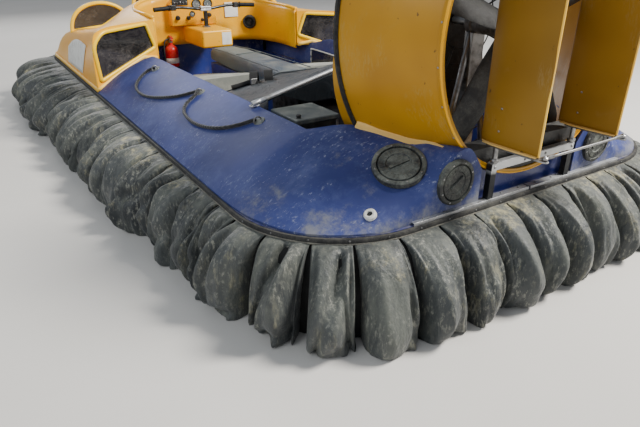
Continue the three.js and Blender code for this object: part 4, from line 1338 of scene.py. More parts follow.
for i in range(5):
    x = 0.109 + 0.026 * i
    tip = (x, PANEL_Y + 0.022, 0.812 - 0.012 * (i % 2))
    nuts.append(turned(NUT, (x, PANEL_Y + 0.002, SWITCH_Z), AFT, 8))
    toggles.append(tube([(x, PANEL_Y + 0.008, SWITCH_Z), tip], 0.0022, 8))
build("switch_levers", merged(*nuts, *toggles), steel)
KNOBS = [
    # x, z, radius
    (0.19, 0.69, 0.016),
    (0.10, 0.685, 0.014),
    (-0.084, 0.70, 0.015),
    (-0.02, 0.665, 0.011),
]
KNOB = [(0, 0.026), (0.8, 0.026), (1, 0.02), (0.9, 0.004), (1.2, 0.003), (1.2, 0)]
knobs = []
for x, z, radius in KNOBS:
    knobs.append(turned([(radius * share, out) for share, out in KNOB], (x, PANEL_Y, z), AFT, 20))
build("panel_knobs", merged(*knobs), black, crisp=30)

# Round air vent on the dash wall
vent_at = Vector((-0.462, -0.962, 0.62))
vent_axis = Vector((0.58, 0.81, 0.0))
vent_rim = [(0.036, 0.006), (0.042, 0.024), (0.052, 0.022), (0.058, 0.006), (0.06, -0.012)]
vent_plate = [(0.0, 0.016), (0.037, 0.01), (0.037, 0.0)]
vent = [turned(profile, vent_at, vent_axis, 28) for profile in (vent_rim, vent_plate)]
for k in range(5):
    radius = 0.006 + 0.0065 * k
    fin = [(radius, 0.012), (radius + 0.0015, 0.019), (radius + 0.003, 0.012)]
    vent.append(turned(fin, vent_at, vent_axis, 24))
build("dash_vent", merged(*vent), black, crisp=30)
sheet_plate = block((-0.415, -1.016, 0.665), (-0.255, -1.008, 0.785))
build("dash_blank_plate", sheet_plate, white_label, bevel=0.002)

# Steering box, handlebar with its clamp, levers and switch clusters
steering = block((-0.13, -1.026, 0.485), (0.13, -0.59, STEER_BOX_TOP))
build("steering_housing", steering, yellow, covers="steering_box", bevel=0.018, bevel_steps=4)
box_plate = block((-0.115, -0.5905, 0.505), (-0.035, -0.588, 0.6))
build("steering_box_plate", box_plate, white_label, bevel=0.001)
collar = [(0.034, 0.0), (0.034, 0.006), (0.026, 0.012), (0.0185, 0.013), (0.0185, 0)]
build("steering_collar", turned(collar, (0, BAR_Y, STEER_BOX_TOP), UP, 24), steel)

# Half the handlebar, from its port end to the clamp: places relative to the bar's own
BAR_ROUTE = [
    (0.42, 0.026, 0.008), (0.3, 0.007, 0.013), (0.2, -0.003, 0.012), (0.11, -0.005, 0.002),
    (0.06, 0, -0.004),
]
bar_half = [Vector((x, BAR_Y + y, BAR_Z + z)) for x, y, z in BAR_ROUTE]
bar_line = curve_through([*bar_half, *mirrored_line(bar_half)], 6)
stem_profile = [(0, 0), (0.017, 0), (0.017, 0.13), (0.022, 0.134), (0.022, 0.15), (0, 0.15)]
stem = turned(stem_profile, (0, BAR_Y, STEER_BOX_TOP + 0.0003), UP, 20)
bar = merged(tube(bar_line, 0.011, 14), stem)
build("bar_tube", bar, dark_steel, body="controls", covers="handlebar", crisp=40)
clamp_base = block((-0.045, BAR_Y - 0.024, BAR_Z - 0.022), (0.045, BAR_Y + 0.024, BAR_Z - 0.004))
clamp_cap = block((-0.045, BAR_Y - 0.022, BAR_Z - 0.002), (0.045, BAR_Y + 0.022, BAR_Z + 0.014))
build("bar_clamp", merged(clamp_base, clamp_cap), alloy, body="controls", bevel=0.004)
cap_corners = [(x, BAR_Y + y, BAR_Z + 0.014) for x in (-0.034, 0.034) for y in (-0.015, 0.015)]
build("clamp_bolts", merged(*[bolt(at, UP, 0.006, 0.005) for at in cap_corners]), steel, body="controls")
CLUSTER = block((-0.022, -0.019, -0.021), (0.022, 0.019, 0.021))
LEVER_ROUTE = [
    (0.255, -0.01, 0.013), (0.262, -0.026, 0.012), (0.29, -0.033, 0.011), (0.35, -0.03, 0.009),
    (0.395, -0.022, 0.006),
]
for side, name in SIDES:
    start = Vector((side * 0.3, BAR_Y + 0.007, BAR_Z + 0.013))
    end = Vector((side * 0.429, BAR_Y + 0.0266, BAR_Z + 0.0078))
    way = end - start
    profile = [(0.012, 0.0), (0.0225, 0.0), (0.0235, 0.003), (0.0225, 0.006), (0.0155, 0.008)]
    for k in range(14):
        at = 0.012 + 0.0082 * k
        profile += [(0.0168, at), (0.0168, at + 0.0045), (0.0152, at + 0.0055), (0.0152, at + 0.0075)]
    profile += [(0.0172, way.length - 0.002), (0.012, way.length), (0.0, way.length)]
    grip = turned(profile, start, way, 24)
    build(f"grip_rubber_{name}", grip, grip_rubber, body="controls", covers=f"grip_{name}", crisp=30)
    cluster = moved(CLUSTER, Matrix.Translation((side * 0.268, BAR_Y + 0.003, BAR_Z + 0.013)))
    build(f"switch_cluster_{name}", cluster, black, body="controls", bevel=0.006)
    blade = curve_through([(side * x, BAR_Y + y, BAR_Z + z) for x, y, z in LEVER_ROUTE], 4)
    build(f"hand_lever_{name}", swept(blade, ring(0.007, 10, 0.5)), black, body="controls", crisp=0)


# Engine cover: creased cloth drawn up to the hoop, with a hem at each end
COVER_EDGES = [(0.664, 0.400), (0.900, 0.440), (1.200, 0.492), (1.495, 0.581)]
COVER_MIDDLES = [(0.664, 0.500), (0.900, 0.560), (1.200, 0.642), (1.495, 0.707)]
COVER_FRONT, COVER_LENGTH, COVER_HALF = 0.664, 0.829, 0.648
COVER_FOOT = 0.352
CLOTH_THICKNESS = 0.0016


def cover_height(x, y):
    """Height of the taut cover: flat over its middle and falling to its edges."""
    edge, middle = between(COVER_EDGES, y), between(COVER_MIDDLES, y)
    reach = min(1, max(0, (abs(x) / COVER_HALF - 0.2) / 0.8))
    return middle + (edge - middle) * reach


def cover_fold(x, y):
    """Rise of the folds and creases over the taut cover."""
    near_edge = min(1, (COVER_HALF - abs(x)) / 0.05)
    near_end = min(1, (y - COVER_FRONT) / 0.05) * min(1, (COVER_FRONT + COVER_LENGTH - y) / 0.06)
    fold = 0.014 * noise.noise(Vector((x * 3.1, y * 1.5 - abs(x) * 1.2, 1.7)))
    ridge = abs(noise.noise(Vector((x * 6.0 + y * 2.5, y * 2.2 - x * 1.4, 7.1))))
    fold += 0.024 * (0.22 - ridge) * near_edge
    pull = abs(noise.noise(Vector((x * 11.0, y * 3.4 + abs(x) * 4, 4.2))))
    fold += 0.009 * (0.2 - pull)
    sag = -0.014 * math.sin(math.pi * (y - COVER_FRONT) / COVER_LENGTH) * near_edge
    return (fold + sag) * near_end


cover_rows = []
for i in range(97):
    y = COVER_FRONT + COVER_LENGTH * i / 96
    row = []
    for k in range(121):
        x = COVER_HALF - 2 * COVER_HALF * k / 120
        row.append(Vector((x, y, cover_height(x, y) + 0.006 + cover_fold(x, y))))
    for side, at in ((1, 0), (-1, -1)):
        fall = []
        corner = row[at]
        for n in range(1, 5):
            z = corner.z - (corner.z - COVER_FOOT) * n / 4
            fall.append(Vector((corner.x + side * 0.002, corner.y, z)))
        row = fall[::-1] + row if side > 0 else row + fall
    cover_rows.append(row)
cover_top = skin(cover_rows, closed_row=False)
cover = build("engine_cover_cloth", cover_top, cover_cloth, covers="engine_cover", crisp=0)
cover_width = max(line_length(row) for row in cover_rows)
cover_run = line_length([row[len(row) // 2] for row in cover_rows])
sheet_area(cover_rows)
cover.modifiers.new("cloth thickness", "SOLIDIFY").thickness = CLOTH_THICKNESS
hem_line = [row[4:-4] for row in cover_rows]
hem_front = [p + Vector((0, 0.003, 0.001)) for p in hem_line[0][::3]]
hem_back = [p + Vector((0, -0.004, 0.0005)) for p in hem_line[-1][::3]]
hems = merged(*[swept(line, ring(0.004, 8, 2.0)) for line in (hem_front, hem_back)])
build("engine_cover_hems", hems, cover_cloth, crisp=0)

# Hoop over the cover, with its end fittings
HOOP_FOOT = Vector((RIDGE_X, HOOP_Y, 0.576))
HOOP_BEND = Vector((0.16, HOOP_Y, 0.710))
half_hoop = [HOOP_FOOT + (HOOP_BEND - HOOP_FOOT) * i / 8 for i in range(9)]
half_hoop += [Vector((0.12, HOOP_Y, 0.7195)), Vector((0.08, HOOP_Y, 0.72))]
hoop_line = [*half_hoop, *mirrored_line(half_hoop)]
build("hoop_tube", tube(hoop_line, 0.011, 16), alloy, covers="cover_hoop", crisp=0)
foot = block((RIDGE_X - 0.022, HOOP_Y - 0.012, 0.5633), (RIDGE_X + 0.022, HOOP_Y + 0.012, 0.570))
sleeve_profile = [(0, -0.012), (0.0125, -0.012), (0.0135, 0.0), (0.0135, 0.026), (0.0118, 0.03)]
sleeve = turned(sleeve_profile, HOOP_FOOT, HOOP_BEND - HOOP_FOOT, 20)
for side, name in SIDES:
    build(f"hoop_end_{name}", sided(merged(foot, sleeve), side), alloy, bevel=0.002)
    head = bolt((side * (RIDGE_X + 0.014), HOOP_Y, 0.5705), UP, 0.005, 0.004)
    build(f"hoop_end_bolt_{name}", head, steel)


# Rear flap of the cover, hung from the back of the hoop
def hoop_height(x):
    fall = (HOOP_BEND.z - HOOP_FOOT.z) / (HOOP_FOOT.x - HOOP_BEND.x)
    return HOOP_BEND.z - fall * max(0, abs(x) - HOOP_BEND.x)


FLAP_HALF, FLAP_FOOT, FLAP_Y = 0.58, 0.545, 1.4985
LOOSE_HALF = 0.375
flap_rows = []
for i in range(15):
    down = i / 14
    row = []
    for k in range(61):
        x = FLAP_HALF - 2 * FLAP_HALF * k / 60
        top = hoop_height(x) - 0.006
        drop = min(top - FLAP_FOOT, (FLAP_HALF + 0.005 - abs(x)) * 0.62) * down
        wave = noise.noise(Vector((x * 9, down * 0.7, 3.3))) * 0.024
        wave += noise.noise(Vector((x * 23, down, 8.1))) * 0.006
        loose = min(1, max(0, (LOOSE_HALF - abs(x)) / 0.06))
        row.append(Vector((x, FLAP_Y + (0.016 + wave) * down * loose, top - drop)))
    flap_rows.append(row)
flap = build("engine_cover_flap", skin(flap_rows, closed_row=False), cover_cloth, crisp=0)
flap_width = max(line_length(row) for row in flap_rows)
flap_drop = max(line_length(column) for column in zip(*flap_rows))
sheet_area(flap_rows)
flap.modifiers.new("cloth thickness", "SOLIDIFY").thickness = CLOTH_THICKNESS

# Webbing strap left folded in two loops on the cover's front edge
STRAP_LOOPS = [
    [
        (0.30, 0.66, 0.476), (0.318, 0.69, 0.53), (0.35, 0.745, 0.552), (0.372, 0.785, 0.52),
        (0.378, 0.795, 0.488),
    ],
    [
        (0.24, 0.72, 0.502), (0.256, 0.75, 0.55), (0.282, 0.795, 0.563), (0.298, 0.83, 0.54),
        (0.30, 0.838, 0.514),
    ],
]
band = [(-0.0016, -0.024), (0.0016, -0.024), (0.0016, 0.024), (-0.0016, 0.024)]
loops = [swept(curve_through(loop, 8), band, up=(-0.87, 0.5, 0)) for loop in STRAP_LOOPS]
roll = [(0.475, 0.702, 0.468), (0.43, 0.716, 0.478), (0.37, 0.745, 0.498)]
loops.append(swept(roll, ring(0.017, 14, 0.8)))
build("folded_strap", merged(*loops), webbing, crisp=40)
buckle = block((0.355, 0.79, 0.494), (0.395, 0.80, 0.526))
build("strap_buckle", buckle, steel, bevel=0.002)

# Louvred side box with its lid
box = block((0.430, 1.510, 0.151), (0.638, 1.730, 0.524))
build("side_box_shell", box, black, covers="side_box", bevel=0.006)
slats = []
for i in range(7):
    z = 0.265 + 0.034 * i
    aft_slat = [(1.7295, z), (1.741, z - 0.008), (1.7415, z - 0.005), (1.7295, z + 0.006)]
    inner_slat = [(0.4305, z), (0.419, z - 0.008), (0.4185, z - 0.005), (0.4305, z + 0.006)]
    slats.append(slab([(0.452, across, up) for across, up in aft_slat], (0.164, 0, 0)))
    slats.append(slab([(across, 1.535, up) for across, up in inner_slat], (0, 0.17, 0)))
build("side_box_louvres", merged(*slats), black, bevel=0.001, bevel_steps=1)
angle = [
    block((0.427, 1.729, 0.2), (0.439, 1.733, 0.522)),
    block((0.427, 1.717, 0.2), (0.43, 1.733, 0.522)),
]
build("side_box_angle", merged(*angle), alloy)
lid = block((0.424, 1.504, 0.5243), (0.644, 1.736, 0.548))
build("side_box_lid_shell", lid, lid_grey, body="box_lid", covers="side_box_lid", bevel=0.007)
knob_profile = [(0, 0.016), (0.009, 0.016), (0.012, 0.012), (0.009, 0.004), (0.013, 0.001), (0.013, -0.002)]
knob = turned(knob_profile, (0.615, 1.705, 0.5475), UP, 20)
build("side_box_lid_knob", knob, black, body="box_lid", crisp=40)


# Belt guard: a rounded case with a bright rim, a foot and bolts
GUARD_TOP_R = 0.078
GUARD_LOW_R = 0.108
GUARD_LOW_Z = 0.300
GUARD_STATIONS = [
    # y, growth of the outline
    (1.8785, -0.02),
    (1.8785, -0.004),
    (1.8795, -0.001),
    (1.882, 0),
    (1.940, 0),
    (1.9425, -0.001),
    (1.9437, -0.004),
    (1.9437, -0.02),
]


def guard_outline(y, grow):
    """Outline round the upper and lower pulleys, with straight sides between them."""
    top, low = Vector((0, y, DUCT_Z)), Vector((0, y, GUARD_LOW_Z))
    lean = math.asin((GUARD_LOW_R - GUARD_TOP_R) / (DUCT_Z - GUARD_LOW_Z))
    points = []
    for i in range(21):
        points.append(top + spoke(lean + (math.pi - 2 * lean) * i / 20) * (GUARD_TOP_R + grow))
    for i in range(21):
        points.append(low + spoke(math.pi - lean + (math.pi + 2 * lean) * i / 20) * (GUARD_LOW_R + grow))
    return points


guard_rows = [guard_outline(y, grow) for y, grow in GUARD_STATIONS]
build("belt_guard_case", skin(guard_rows), black, covers="belt_guard", crisp=40)
rim = [(0.0, -0.003), (0.005, -0.003), (0.005, 0.003), (0.0, 0.003)]
guard_rim = swept(guard_outline(1.883, 0), rim, closed=True)
build("belt_guard_rim", guard_rim, alloy, crisp=40)
foot = block((-0.1, 1.885, 0.1505), (0.1, 1.935, 0.26))
build("belt_guard_foot", foot, cast, bevel=0.004)
studs = [bolt(p, (0, -1, 0), 0.006, 0.005) for p in guard_outline(1.8785, -0.014)[::5]]
build("belt_guard_bolts", merged(*studs), steel)


# Duct: moulded shell, flared inlet lip, trim line at the joint, rolled outlet edge
def about_duct(profile):
    """Closed profile of (radius, y) pairs turned round the duct's axis."""
    return turned([*profile, profile[0]], (0, 0, DUCT_Z), AFT, 96)


shell_profile = [
    (0.645, 2.0303), (0.638, 2.05), (0.613, 2.125), (0.580, 2.220), (0.556, 2.277), (0.533, 2.333),
    (0.514, 2.386), (0.518, 2.390), (0.5185, 2.404), (0.516, 2.409), (0.509, 2.4105), (0.502, 2.409),
    (0.500, 2.403), (0.516, 2.350), (0.538, 2.285), (0.562, 2.220), (0.594, 2.125), (0.619, 2.052),
    (0.627, 2.0303),
]
# Shell and inlet lip take the darker gelcoat copy as painted shade.
build("duct_moulding", about_duct(shell_profile), shade_painted_yellow, covers="duct_shell", crisp=40)
lip_profile = [
    (0.653, 2.030), (0.653, 2.0235), (0.6515, 2.0155), (0.6475, 2.0085), (0.641, 2.0048), (0.634, 2.004),
    (0.6295, 2.0065), (0.627, 2.012), (0.627, 2.030),
]
build("duct_inlet_lip", about_duct(lip_profile), shade_painted_yellow, covers="duct_lip", crisp=40)
joint_trim = [(0.6535, 2.0225), (0.6575, 2.0235), (0.6575, 2.0345), (0.6475, 2.037), (0.6435, 2.034)]
build("duct_joint_trim", about_duct(joint_trim), trim_rubber, crisp=40)
duct_bolts = []
for i in range(24):
    outward = spoke(math.radians(15 * i + 7))
    at = Vector((0, 2.396, DUCT_Z)) + outward * 0.5178
    duct_bolts.append(bolt(at, outward, 0.0042, 0.003))
build("duct_outlet_screws", merged(*duct_bolts), steel)

# The thin outlet edge takes the lighter yellow as a painted highlight along the lit rim, against the duct's
# shade-painted gelcoat.
edge_profile = [(0.519, 2.4035), (0.5205, 2.407), (0.518, 2.4115), (0.5135, 2.4118), (0.512, 2.408)]
build("duct_outlet_edge", about_duct(edge_profile), yellow, crisp=0)

# Flanges that fasten the duct to the deck, one on each side, each with a worn pale foot
FLANGE_ROUTE = [
    (0.552, 2.036, 0.592),
    (0.51, 2.11, 0.581),
    (0.468, 2.189, 0.570),
    (0.413, 2.293, 0.556),
    (0.403, 2.395, 0.545),
]
FLANGE_SECTION = [(-0.004, -0.02), (0.004, -0.02), (0.006, 0.016), (-0.002, 0.018)]
for side, name in SIDES:
    line = curve_through([Vector((side * x, y, z)) for x, y, z in FLANGE_ROUTE], 5)
    build(f"duct_flange_{name}", swept(line, FLANGE_SECTION), lip_cream, crisp=40)
    foot_rows = []
    for i, point in enumerate(line):
        out = Vector((side * 0.92, 0.38, 0)) * (0.016 + 0.034 * (i / (len(line) - 1)) ** 1.6)
        fall = Vector((0, 0, -0.505 * out.length))
        near, rise = point + out * -0.3, Vector((0, 0, 0.007))
        far = point + out + fall
        foot_rows.append([near + rise * 2, far + rise, far, near])
    build(f"duct_foot_{name}", skin(foot_rows), lip_cream, crisp=40)

# Fairings that widen the duct's front edge down to the deck
FAIRING_BACK = 2.024
fairing_rows = []
for i in range(15):
    turn = math.radians(-7 - 30 * i / 14)
    wide = 0.004 + 0.075 * (i / 14) ** 0.8
    section = [
        # radius, distance forward of the fairing's back
        (0.652, 0),
        (0.654, wide * 0.5),
        (0.658, wide),
        (0.651, wide + 0.002),
        (0.646, wide * 0.5),
        (0.644, 0),
    ]
    row = []
    for radius, ahead in section:
        row.append(Vector((0, FAIRING_BACK - ahead, DUCT_Z)) + spoke(turn) * radius)
    fairing_rows.append(row)
for side, name in SIDES:
    rows = [[Vector((side * p.x, p.y, p.z)) for p in row] for row in fairing_rows]
    # Fairings in the darker gelcoat copy, painted shade like the duct.
    build(f"duct_fairing_{name}", skin(rows), shade_painted_yellow, crisp=50)

# Wire guard over the duct's inlet
GUARD_RINGS_Y, GUARD_SPOKES_Y = 1.9958, 1.9992
wires = []
for i in range(9):
    radius = 0.11 + 0.065 * i
    centre = Vector((0, GUARD_RINGS_Y, DUCT_Z))
    hoop = [centre + spoke(math.tau * k / 72) * radius for k in range(72)]
    wires.append(tube(hoop, 0.0028 if i < 8 else 0.004, 8, closed=True))
for i in range(8):
    centre, outward = Vector((0, GUARD_SPOKES_Y, DUCT_Z)), spoke(math.radians((i + 0.5) * 45))
    wires.append(tube([centre + outward * 0.106, centre + outward * 0.631], 0.004, 8))
build("guard_wires", merged(*wires), black, covers="fan_guard", crisp=0)

# Fan: hub with bolts, shaft, nose cone and cambered, twisted blades
HUB = Vector((0, FAN_Y, DUCT_Z))
BLADE_ROOT, BLADE_LENGTH = 0.06, 0.468
BLADE_STATIONS = [
    # radius, (chord, pitch in degrees, thickness)
    (0.06, Vector((0.105, 48, 0.020))),
    (0.20, Vector((0.112, 36, 0.015))),
    (0.36, Vector((0.105, 27, 0.011))),
    (0.53, Vector((0.084, 22, 0.008))),
]


def blade_shape(turn):
    rows = []
    for i in range(25):
        radius = BLADE_ROOT + BLADE_LENGTH * i / 24
        chord, pitch, deep = between(BLADE_STATIONS, radius)
        chord *= 1 - 0.35 * max(0, (i - 21) / 3) ** 2
        twist = Matrix.Rotation(math.radians(pitch), 3, "Z")
        row = []
        for n in range(24):
            around = math.tau * n / 24
            share = 0.5 - math.cos(around) / 2
            thick = deep / 2 * math.sin(around) * (1.25 - 0.75 * share)
            lift = 0.06 * chord * (1 - (2 * share - 1) ** 2)
            row.append(Vector(((share - 0.5) * chord, thick + lift, radius)))
        rows.append([twist @ point for point in row])
    return moved(skin(rows), Matrix.Translation(HUB) @ Matrix.Rotation(turn, 4, "Y"))


fan_blades = merged(*[blade_shape(math.tau * i / 5) for i in range(5)])
build("fan_blades", fan_blades, black, body="fan_rotor", covers="fan")
hub_profile = [
    (0, -0.042), (0.072, -0.042), (0.083, -0.036), (0.085, -0.028), (0.085, 0.03), (0.082, 0.038),
    (0.074, 0.042), (0, 0.042),
]
cone_profile = [(0.060, 0.041), (0.058, 0.05), (0.046, 0.064), (0.03, 0.071), (0.012, 0.074), (0, 0.0745)]
hub, cone = turned(hub_profile, HUB, AFT, 40), turned(cone_profile, HUB, AFT, 32)
build("fan_hub", merged(hub, cone), cast, body="fan_rotor")
shaft = turned([(0, -0.32), (0.017, -0.32), (0.017, -0.044), (0, -0.044)], HUB, AFT, 24)
hub_bolts = []
for i in range(5):
    at = HUB + Vector((0, 0.041, 0)) + spoke(math.tau * i / 5 + 0.6) * 0.068
    hub_bolts.append(bolt(at, AFT, 0.006, 0.006))
build("fan_shaft", merged(shaft, *hub_bolts), steel, body="fan_rotor")

# Pylon that carries the fan's bearing
housing_profile = [
    (0.0178, 0), (0.042, 0), (0.046, 0.004), (0.046, 0.03), (0.041, 0.036), (0.041, 0.134), (0.046, 0.14),
    (0.046, 0.166), (0.042, 0.17), (0.0178, 0.17), (0.0178, 0),
]
housing = turned(housing_profile, (0, 2.043, DUCT_Z), AFT, 32)
post = block((-0.035, 2.045, 0.355), (0.035, 2.090, DUCT_Z - 0.035))
base = block((-0.15, 2.035, 0.3453), (0.15, 2.1, 0.357))
build("pylon_post", merged(post, base), steel, covers="fan_pylon", bevel=0.003)
build("pylon_bearing_housing", housing, cast)
struts = [tube([(side * 0.13, 2.067, 0.353), (side * 0.02, 2.067, 0.911)], 0.013, 14) for side, _ in SIDES]
build("pylon_struts", merged(*struts), steel, crisp=0)
stud_places = [(side * 0.138, 2.05 + 0.034 * i, 0.357) for side, _ in SIDES for i in (0, 1)]
build("pylon_bolts", merged(*[bolt(at, UP, 0.007, 0.006) for at in stud_places]), steel)

# Lift splitter inside the duct's lower part
repaint("splitter", black)

# Stern beam and rudder bar: alloy sections with welded legs, end caps and bolts
repaint("stern_beam", alloy_dark_below, 0.003)
repaint("rudder_bar", alloy, 0.003)
cap = block((0.237, 2.4145, 0.4685), (0.243, 2.4395, 0.4935))
build("stern_beam_caps", merged(cap, mirrored(cap)), black, bevel=0.002)
bolt_places = [(side * x, 2.4405, 0.481) for side, _ in SIDES for x in (0.226, 0.225, 0.06)]
bolt_places += [(side * x, 2.45, 1.382) for side, _ in SIDES for x in (0.18, 0.3)]
build("stern_bar_bolts", merged(*[bolt(at, AFT, 0.0055, 0.004) for at in bolt_places]), steel)
beam_flat = block((-0.236, 2.4135, 0.4943), (0.236, 2.438, 0.4965))
build("stern_beam_flat", beam_flat, alloy, bevel=0.0008)

# Rudders: foam cored blades with a rolled nose, a pale trailing edge that is a painted highlight of a sun
# glint, and a lip at the foot
FOIL = [
    # distance aft of the pivot, half thickness
    (-0.072, 0.0), (-0.0705, 0.0035), (-0.067, 0.0065), (-0.060, 0.0095), (-0.045, 0.013),
    (-0.02, 0.016), (0.01, 0.0158), (0.05, 0.013), (0.11, 0.0082), (0.17, 0.0032), (0.177, 0.0024),
]
BLADE_FOOT, BLADE_HEIGHT = 0.566, 0.768
EDGE_SECTION = [
    (-0.003, 0.1735), (0.003, 0.1735), (0.003, 0.177), (0.002, 0.1787), (-0.002, 0.1787), (-0.003, 0.177),
]
LIP_OUTLINE = [
    (0, -0.07), (0.019, -0.05), (0.025, -0.01), (0.024, 0.05), (0.013, 0.173), (-0.013, 0.173),
    (-0.024, 0.05), (-0.025, -0.01), (-0.019, -0.05),
]
HORN_OUTLINE = [
    (-0.02, -0.03), (0.02, -0.03), (0.022, 0.0), (0.018, 0.12), (0.012, 0.205), (0.006, 0.213),
    (-0.006, 0.213), (-0.012, 0.205), (-0.018, 0.12), (-0.022, 0.0),
]
POSTS = [
    # foot, length
    (0.4945, 0.07),
    (1.334, 0.0375),
]
COLLAR = [(0.0092, 0), (0.0155, 0), (0.0165, 0.002), (0.0165, 0.01), (0.0155, 0.012), (0.0092, 0.012)]


def rudder_outline(pivot, points, z):
    """Outline of (across, aft) pairs, laid level about a rudder's pivot."""
    return [Vector((pivot + x, RUDDER_PIVOT_Y + y, z)) for x, y in points]


for side, name in SIDES:
    body = f"{name}_rudder"
    pivot = side * RUDDER_X
    rows = []
    for i in range(45):
        z = BLADE_FOOT + BLADE_HEIGHT * i / 44
        end = min(1, min(i, 44 - i) / 1.5 + 0.35)
        outline = [(y, w * end) for y, w in FOIL] + [(y, -w * end) for y, w in FOIL[::-1]]
        row = []
        for y, w in outline:
            wave = 0.0009 * noise.noise(Vector((y * 9, w * 40, z * 7 + side * 3)))
            row.append(Vector((pivot + w + wave, RUDDER_PIVOT_Y + y, z)))
        rows.append(row)
    # Blade skin in the darkest gelcoat copy, painted shade on its faces.
    build(f"rudder_blade_{name}", skin(rows), shaded, body=body, covers=f"rudder_{name}", crisp=50)
    edge_rows = [rudder_outline(pivot, EDGE_SECTION, 0.57 + 0.76 * i / 32) for i in range(33)]
    # Trailing edge strip: painted highlight standing for the glint along the edge.
    build(f"rudder_edge_{name}", skin(edge_rows), pale_edge_and_glint_yellow, body=body, crisp=50)
    lip = slab(rudder_outline(pivot, LIP_OUTLINE, 0.5655), (0, 0, 0.005))
    build(f"rudder_lip_{name}", lip, lip_cream, body=body, bevel=0.0012)
    fittings = [slab(rudder_outline(pivot, HORN_OUTLINE, 0.5592), (0, 0, 0.0058))]
    for foot, length in POSTS:
        profile = [(0, 0), (0.009, 0), (0.009, length), (0, length)]
        fittings.append(turned(profile, (pivot, RUDDER_PIVOT_Y, foot), UP, 20))
    for z in (0.5, 1.336):
        fittings.append(turned(COLLAR, (pivot, RUDDER_PIVOT_Y, z), UP, 20))
    build(f"rudder_fittings_{name}", merged(*fittings), steel, body=body, bevel=0.0008)
    rivets = []
    for z in (0.62, 0.70, 1.20, 1.28):
        for face in (1, -1):
            at = (pivot + face * 0.0148, RUDDER_PIVOT_Y + 0.012, z)
            rivets.append(bolt(at, (face, 0, 0), 0.0045, 0.003))
    build(f"rudder_rivets_{name}", merged(*rivets), steel, body=body)

# Tie rod with threaded ends and rod eyes
ROD_Z = 0.5733
ROD_SLEEVE = [(0, 0), (0.0072, 0), (0.0072, 0.03), (0.005, 0.034), (0, 0.034)]
ROD_EYE = [(0, -0.0055), (0.0075, -0.0055), (0.011, -0.003), (0.011, 0.003), (0.0075, 0.0055), (0, 0.0055)]
rod = [tube([(-0.218, TIE_ROD_Y, ROD_Z), (0.218, TIE_ROD_Y, ROD_Z)], 0.005, 12)]
for side, _ in SIDES:
    rod.append(turned(ROD_SLEEVE, (side * 0.211, TIE_ROD_Y, ROD_Z), (-side, 0, 0), 6))
    rod.append(turned(ROD_EYE, (side * RUDDER_X, TIE_ROD_Y, ROD_Z + 0.0005), UP, 20))
    rod.append(bolt((side * RUDDER_X, TIE_ROD_Y, 0.579), UP, 0.006, 0.004))
build("tie_rod_with_eyes", merged(*rod), steel, body="linkage", covers="tie_rod")


# Hatches: flange ring with screws, a cap with a recessed quarter-turn handle
def hatch(name, at, axis, radius, lift):
    """Round hatch whose lid stands a lift above the CAD's face; profiles are shares of its radius."""
    at, axis = Vector(at), Vector(axis).normalized()
    flange_profile = [
        (0.80, lift - 0.002), (0.83, lift + 0.0045), (0.93, lift + 0.0045), (0.985, lift + 0.0015),
        (1, lift - 0.006), (1, -0.004), (0.8, -0.004), (0.80, lift - 0.002),
    ]
    cap_profile = [
        (0.0, lift - 0.001), (0.46, lift - 0.001), (0.49, lift + 0.003), (0.745, lift + 0.003),
        (0.775, lift), (0.785, lift - 0.006), (0.785, -0.004), (0, -0.004),
    ]
    flange, cap = [
        turned([(radius * share, up) for share, up in profile], at, axis, 48)
        for profile in (flange_profile, cap_profile)
    ]
    frame_axes = axis.to_track_quat("Z", "Y").to_matrix().to_4x4()
    place = Matrix.Translation(at + axis * (lift - 0.001)) @ frame_axes @ Matrix.Rotation(0.6, 4, "Z")
    grip = moved(block((-radius * 0.4, -0.0055, 0), (radius * 0.4, 0.0055, 0.0065)), place)
    rib = block((-0.0015, radius * 0.52, 0.0035), (0.0015, radius * 0.70, 0.0055))
    ribs = [moved(rib, place @ Matrix.Rotation(math.tau * i / 24, 4, "Z")) for i in range(24)]
    build(f"{name}_flange", flange, hatch_black, covers=name)
    build(f"{name}_cap", merged(cap, grip, *ribs), hatch_black, bevel=0.001, bevel_steps=1)
    screws = []
    for i in range(8):
        turn = math.tau * (i + 0.5) / 8
        outward = frame_axes.to_3x3() @ Vector((math.cos(turn), math.sin(turn), 0))
        screws.append(bolt(at + outward * radius * 0.885 + axis * (lift + 0.0035), axis, 0.0045, 0.002))
    build(f"{name}_screws", merged(*screws), steel)


for side, name in SIDES:
    hatch(f"deck_hatch_{name}", (side * 0.558, 2.296, 0.508), (side * 0.334, 0.352, 0.874), 0.097, 0.013)
    hatch(f"stern_hatch_{name}", (side * 0.411, 2.4263, 0.461), AFT, 0.084, 0.011)


# Inflation valve on the port stern slope
VALVE, VALVE_AXIS = Vector((0.738, 2.372, 0.398)), Vector((0.482, 0.22, 0.848))
valve_rim = [
    (0.010, 0.002), (0.011, 0.008), (0.017, 0.009), (0.022, 0.004), (0.023, -0.006), (0.010, -0.006),
]
build("valve_collar", turned(valve_rim, VALVE, VALVE_AXIS, 32), white_label)
valve_core = [(0, 0.004), (0.003, 0.004), (0.0035, 0.001), (0.0105, 0.001), (0.0105, -0.004)]
build("valve_core", turned(valve_core, VALVE, VALVE_AXIS, 24), black)

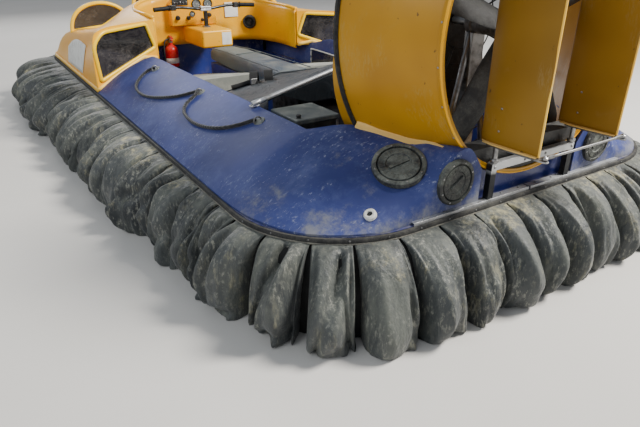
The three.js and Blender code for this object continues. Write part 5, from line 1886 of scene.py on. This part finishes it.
# Worn alloy strip along the stern edge, in two lengths
for side, name in SIDES:
    low, high = sorted((side * 0.006, side * 0.60))
    flat = block((low, STERN_Y - 0.030, DECK_EDGE - 0.001), (high, STERN_Y + 0.001, DECK_EDGE + 0.003))
    drop = block((low, STERN_Y - 0.002, DECK_EDGE - 0.011), (high, STERN_Y + 0.002, DECK_EDGE + 0.003))
    build(f"stern_edge_strip_{name}", merged(flat, drop), alloy, bevel=0.0008)
    places = [(side * (0.05 + 0.1 * i), STERN_Y - 0.016, DECK_EDGE + 0.003) for i in range(6)]
    heads = [bolt(at, UP, 0.005, 0.003) for at in places]
    build(f"stern_strip_bolts_{name}", merged(*heads), cast)

# Clear pocket with a white edging on the starboard wall of the cockpit
pocket = [
    (-0.22, 0.345), (0.19, 0.335), (0.205, 0.35), (0.205, 0.44), (0.19, 0.456), (-0.20, 0.468),
    (-0.235, 0.45), (-0.235, 0.36),
]
build("wall_pocket", slab([Vector((-0.659, y, z)) for y, z in pocket], (0.004, 0, 0)), pane, bevel=0.001)
edging = curve_through([Vector((-0.6545, y, z)) for y, z in pocket], 5, closed=True)
build("wall_pocket_edging", tube(edging, 0.0055, 8, closed=True), white_label, crisp=0)

# Floor, soft light and pale surroundings
floor_mesh = bpy.data.meshes.new("floor")
floor_mesh.from_pydata([(-30, -30, 0), (30, -30, 0), (30, 30, 0), (-30, 30, 0)], [], [(0, 1, 2, 3)])
floor = bpy.data.objects.new("floor", floor_mesh)
floor_mesh.materials.append(make_floor().material)
bpy.context.collection.objects.link(floor)


def add_light(name, place, target, size, power, tint):
    data = bpy.data.lights.new(name, "AREA")
    data.shape = "DISK"
    data.size = size
    data.energy = power
    data.color = tint
    lamp = bpy.data.objects.new(name, data)
    lamp.location = place
    lamp.rotation_euler = (Vector(target) - Vector(place)).to_track_quat("-Z", "Y").to_euler()
    bpy.context.collection.objects.link(lamp)


add_light("key", (-4.0, 4.6, 6.2), (0, 0.4, 0.3), 2.4, 1500, (1, 0.97, 0.92))
add_light("fill", (6.5, 3.0, 4.5), (0, 0.5, 0.3), 5.0, 210, (0.9, 0.95, 1))
add_light("bow", (0.5, -7.5, 4.5), (0, -0.5, 0.4), 4.0, 260, (1, 1, 1))

world = bpy.data.worlds.new("surroundings")
world.use_nodes = True
world.node_tree.nodes["Background"].inputs["Color"].default_value = colour((205, 212, 222))
world.node_tree.nodes["Background"].inputs["Strength"].default_value = 0.6
bpy.context.scene.world = world
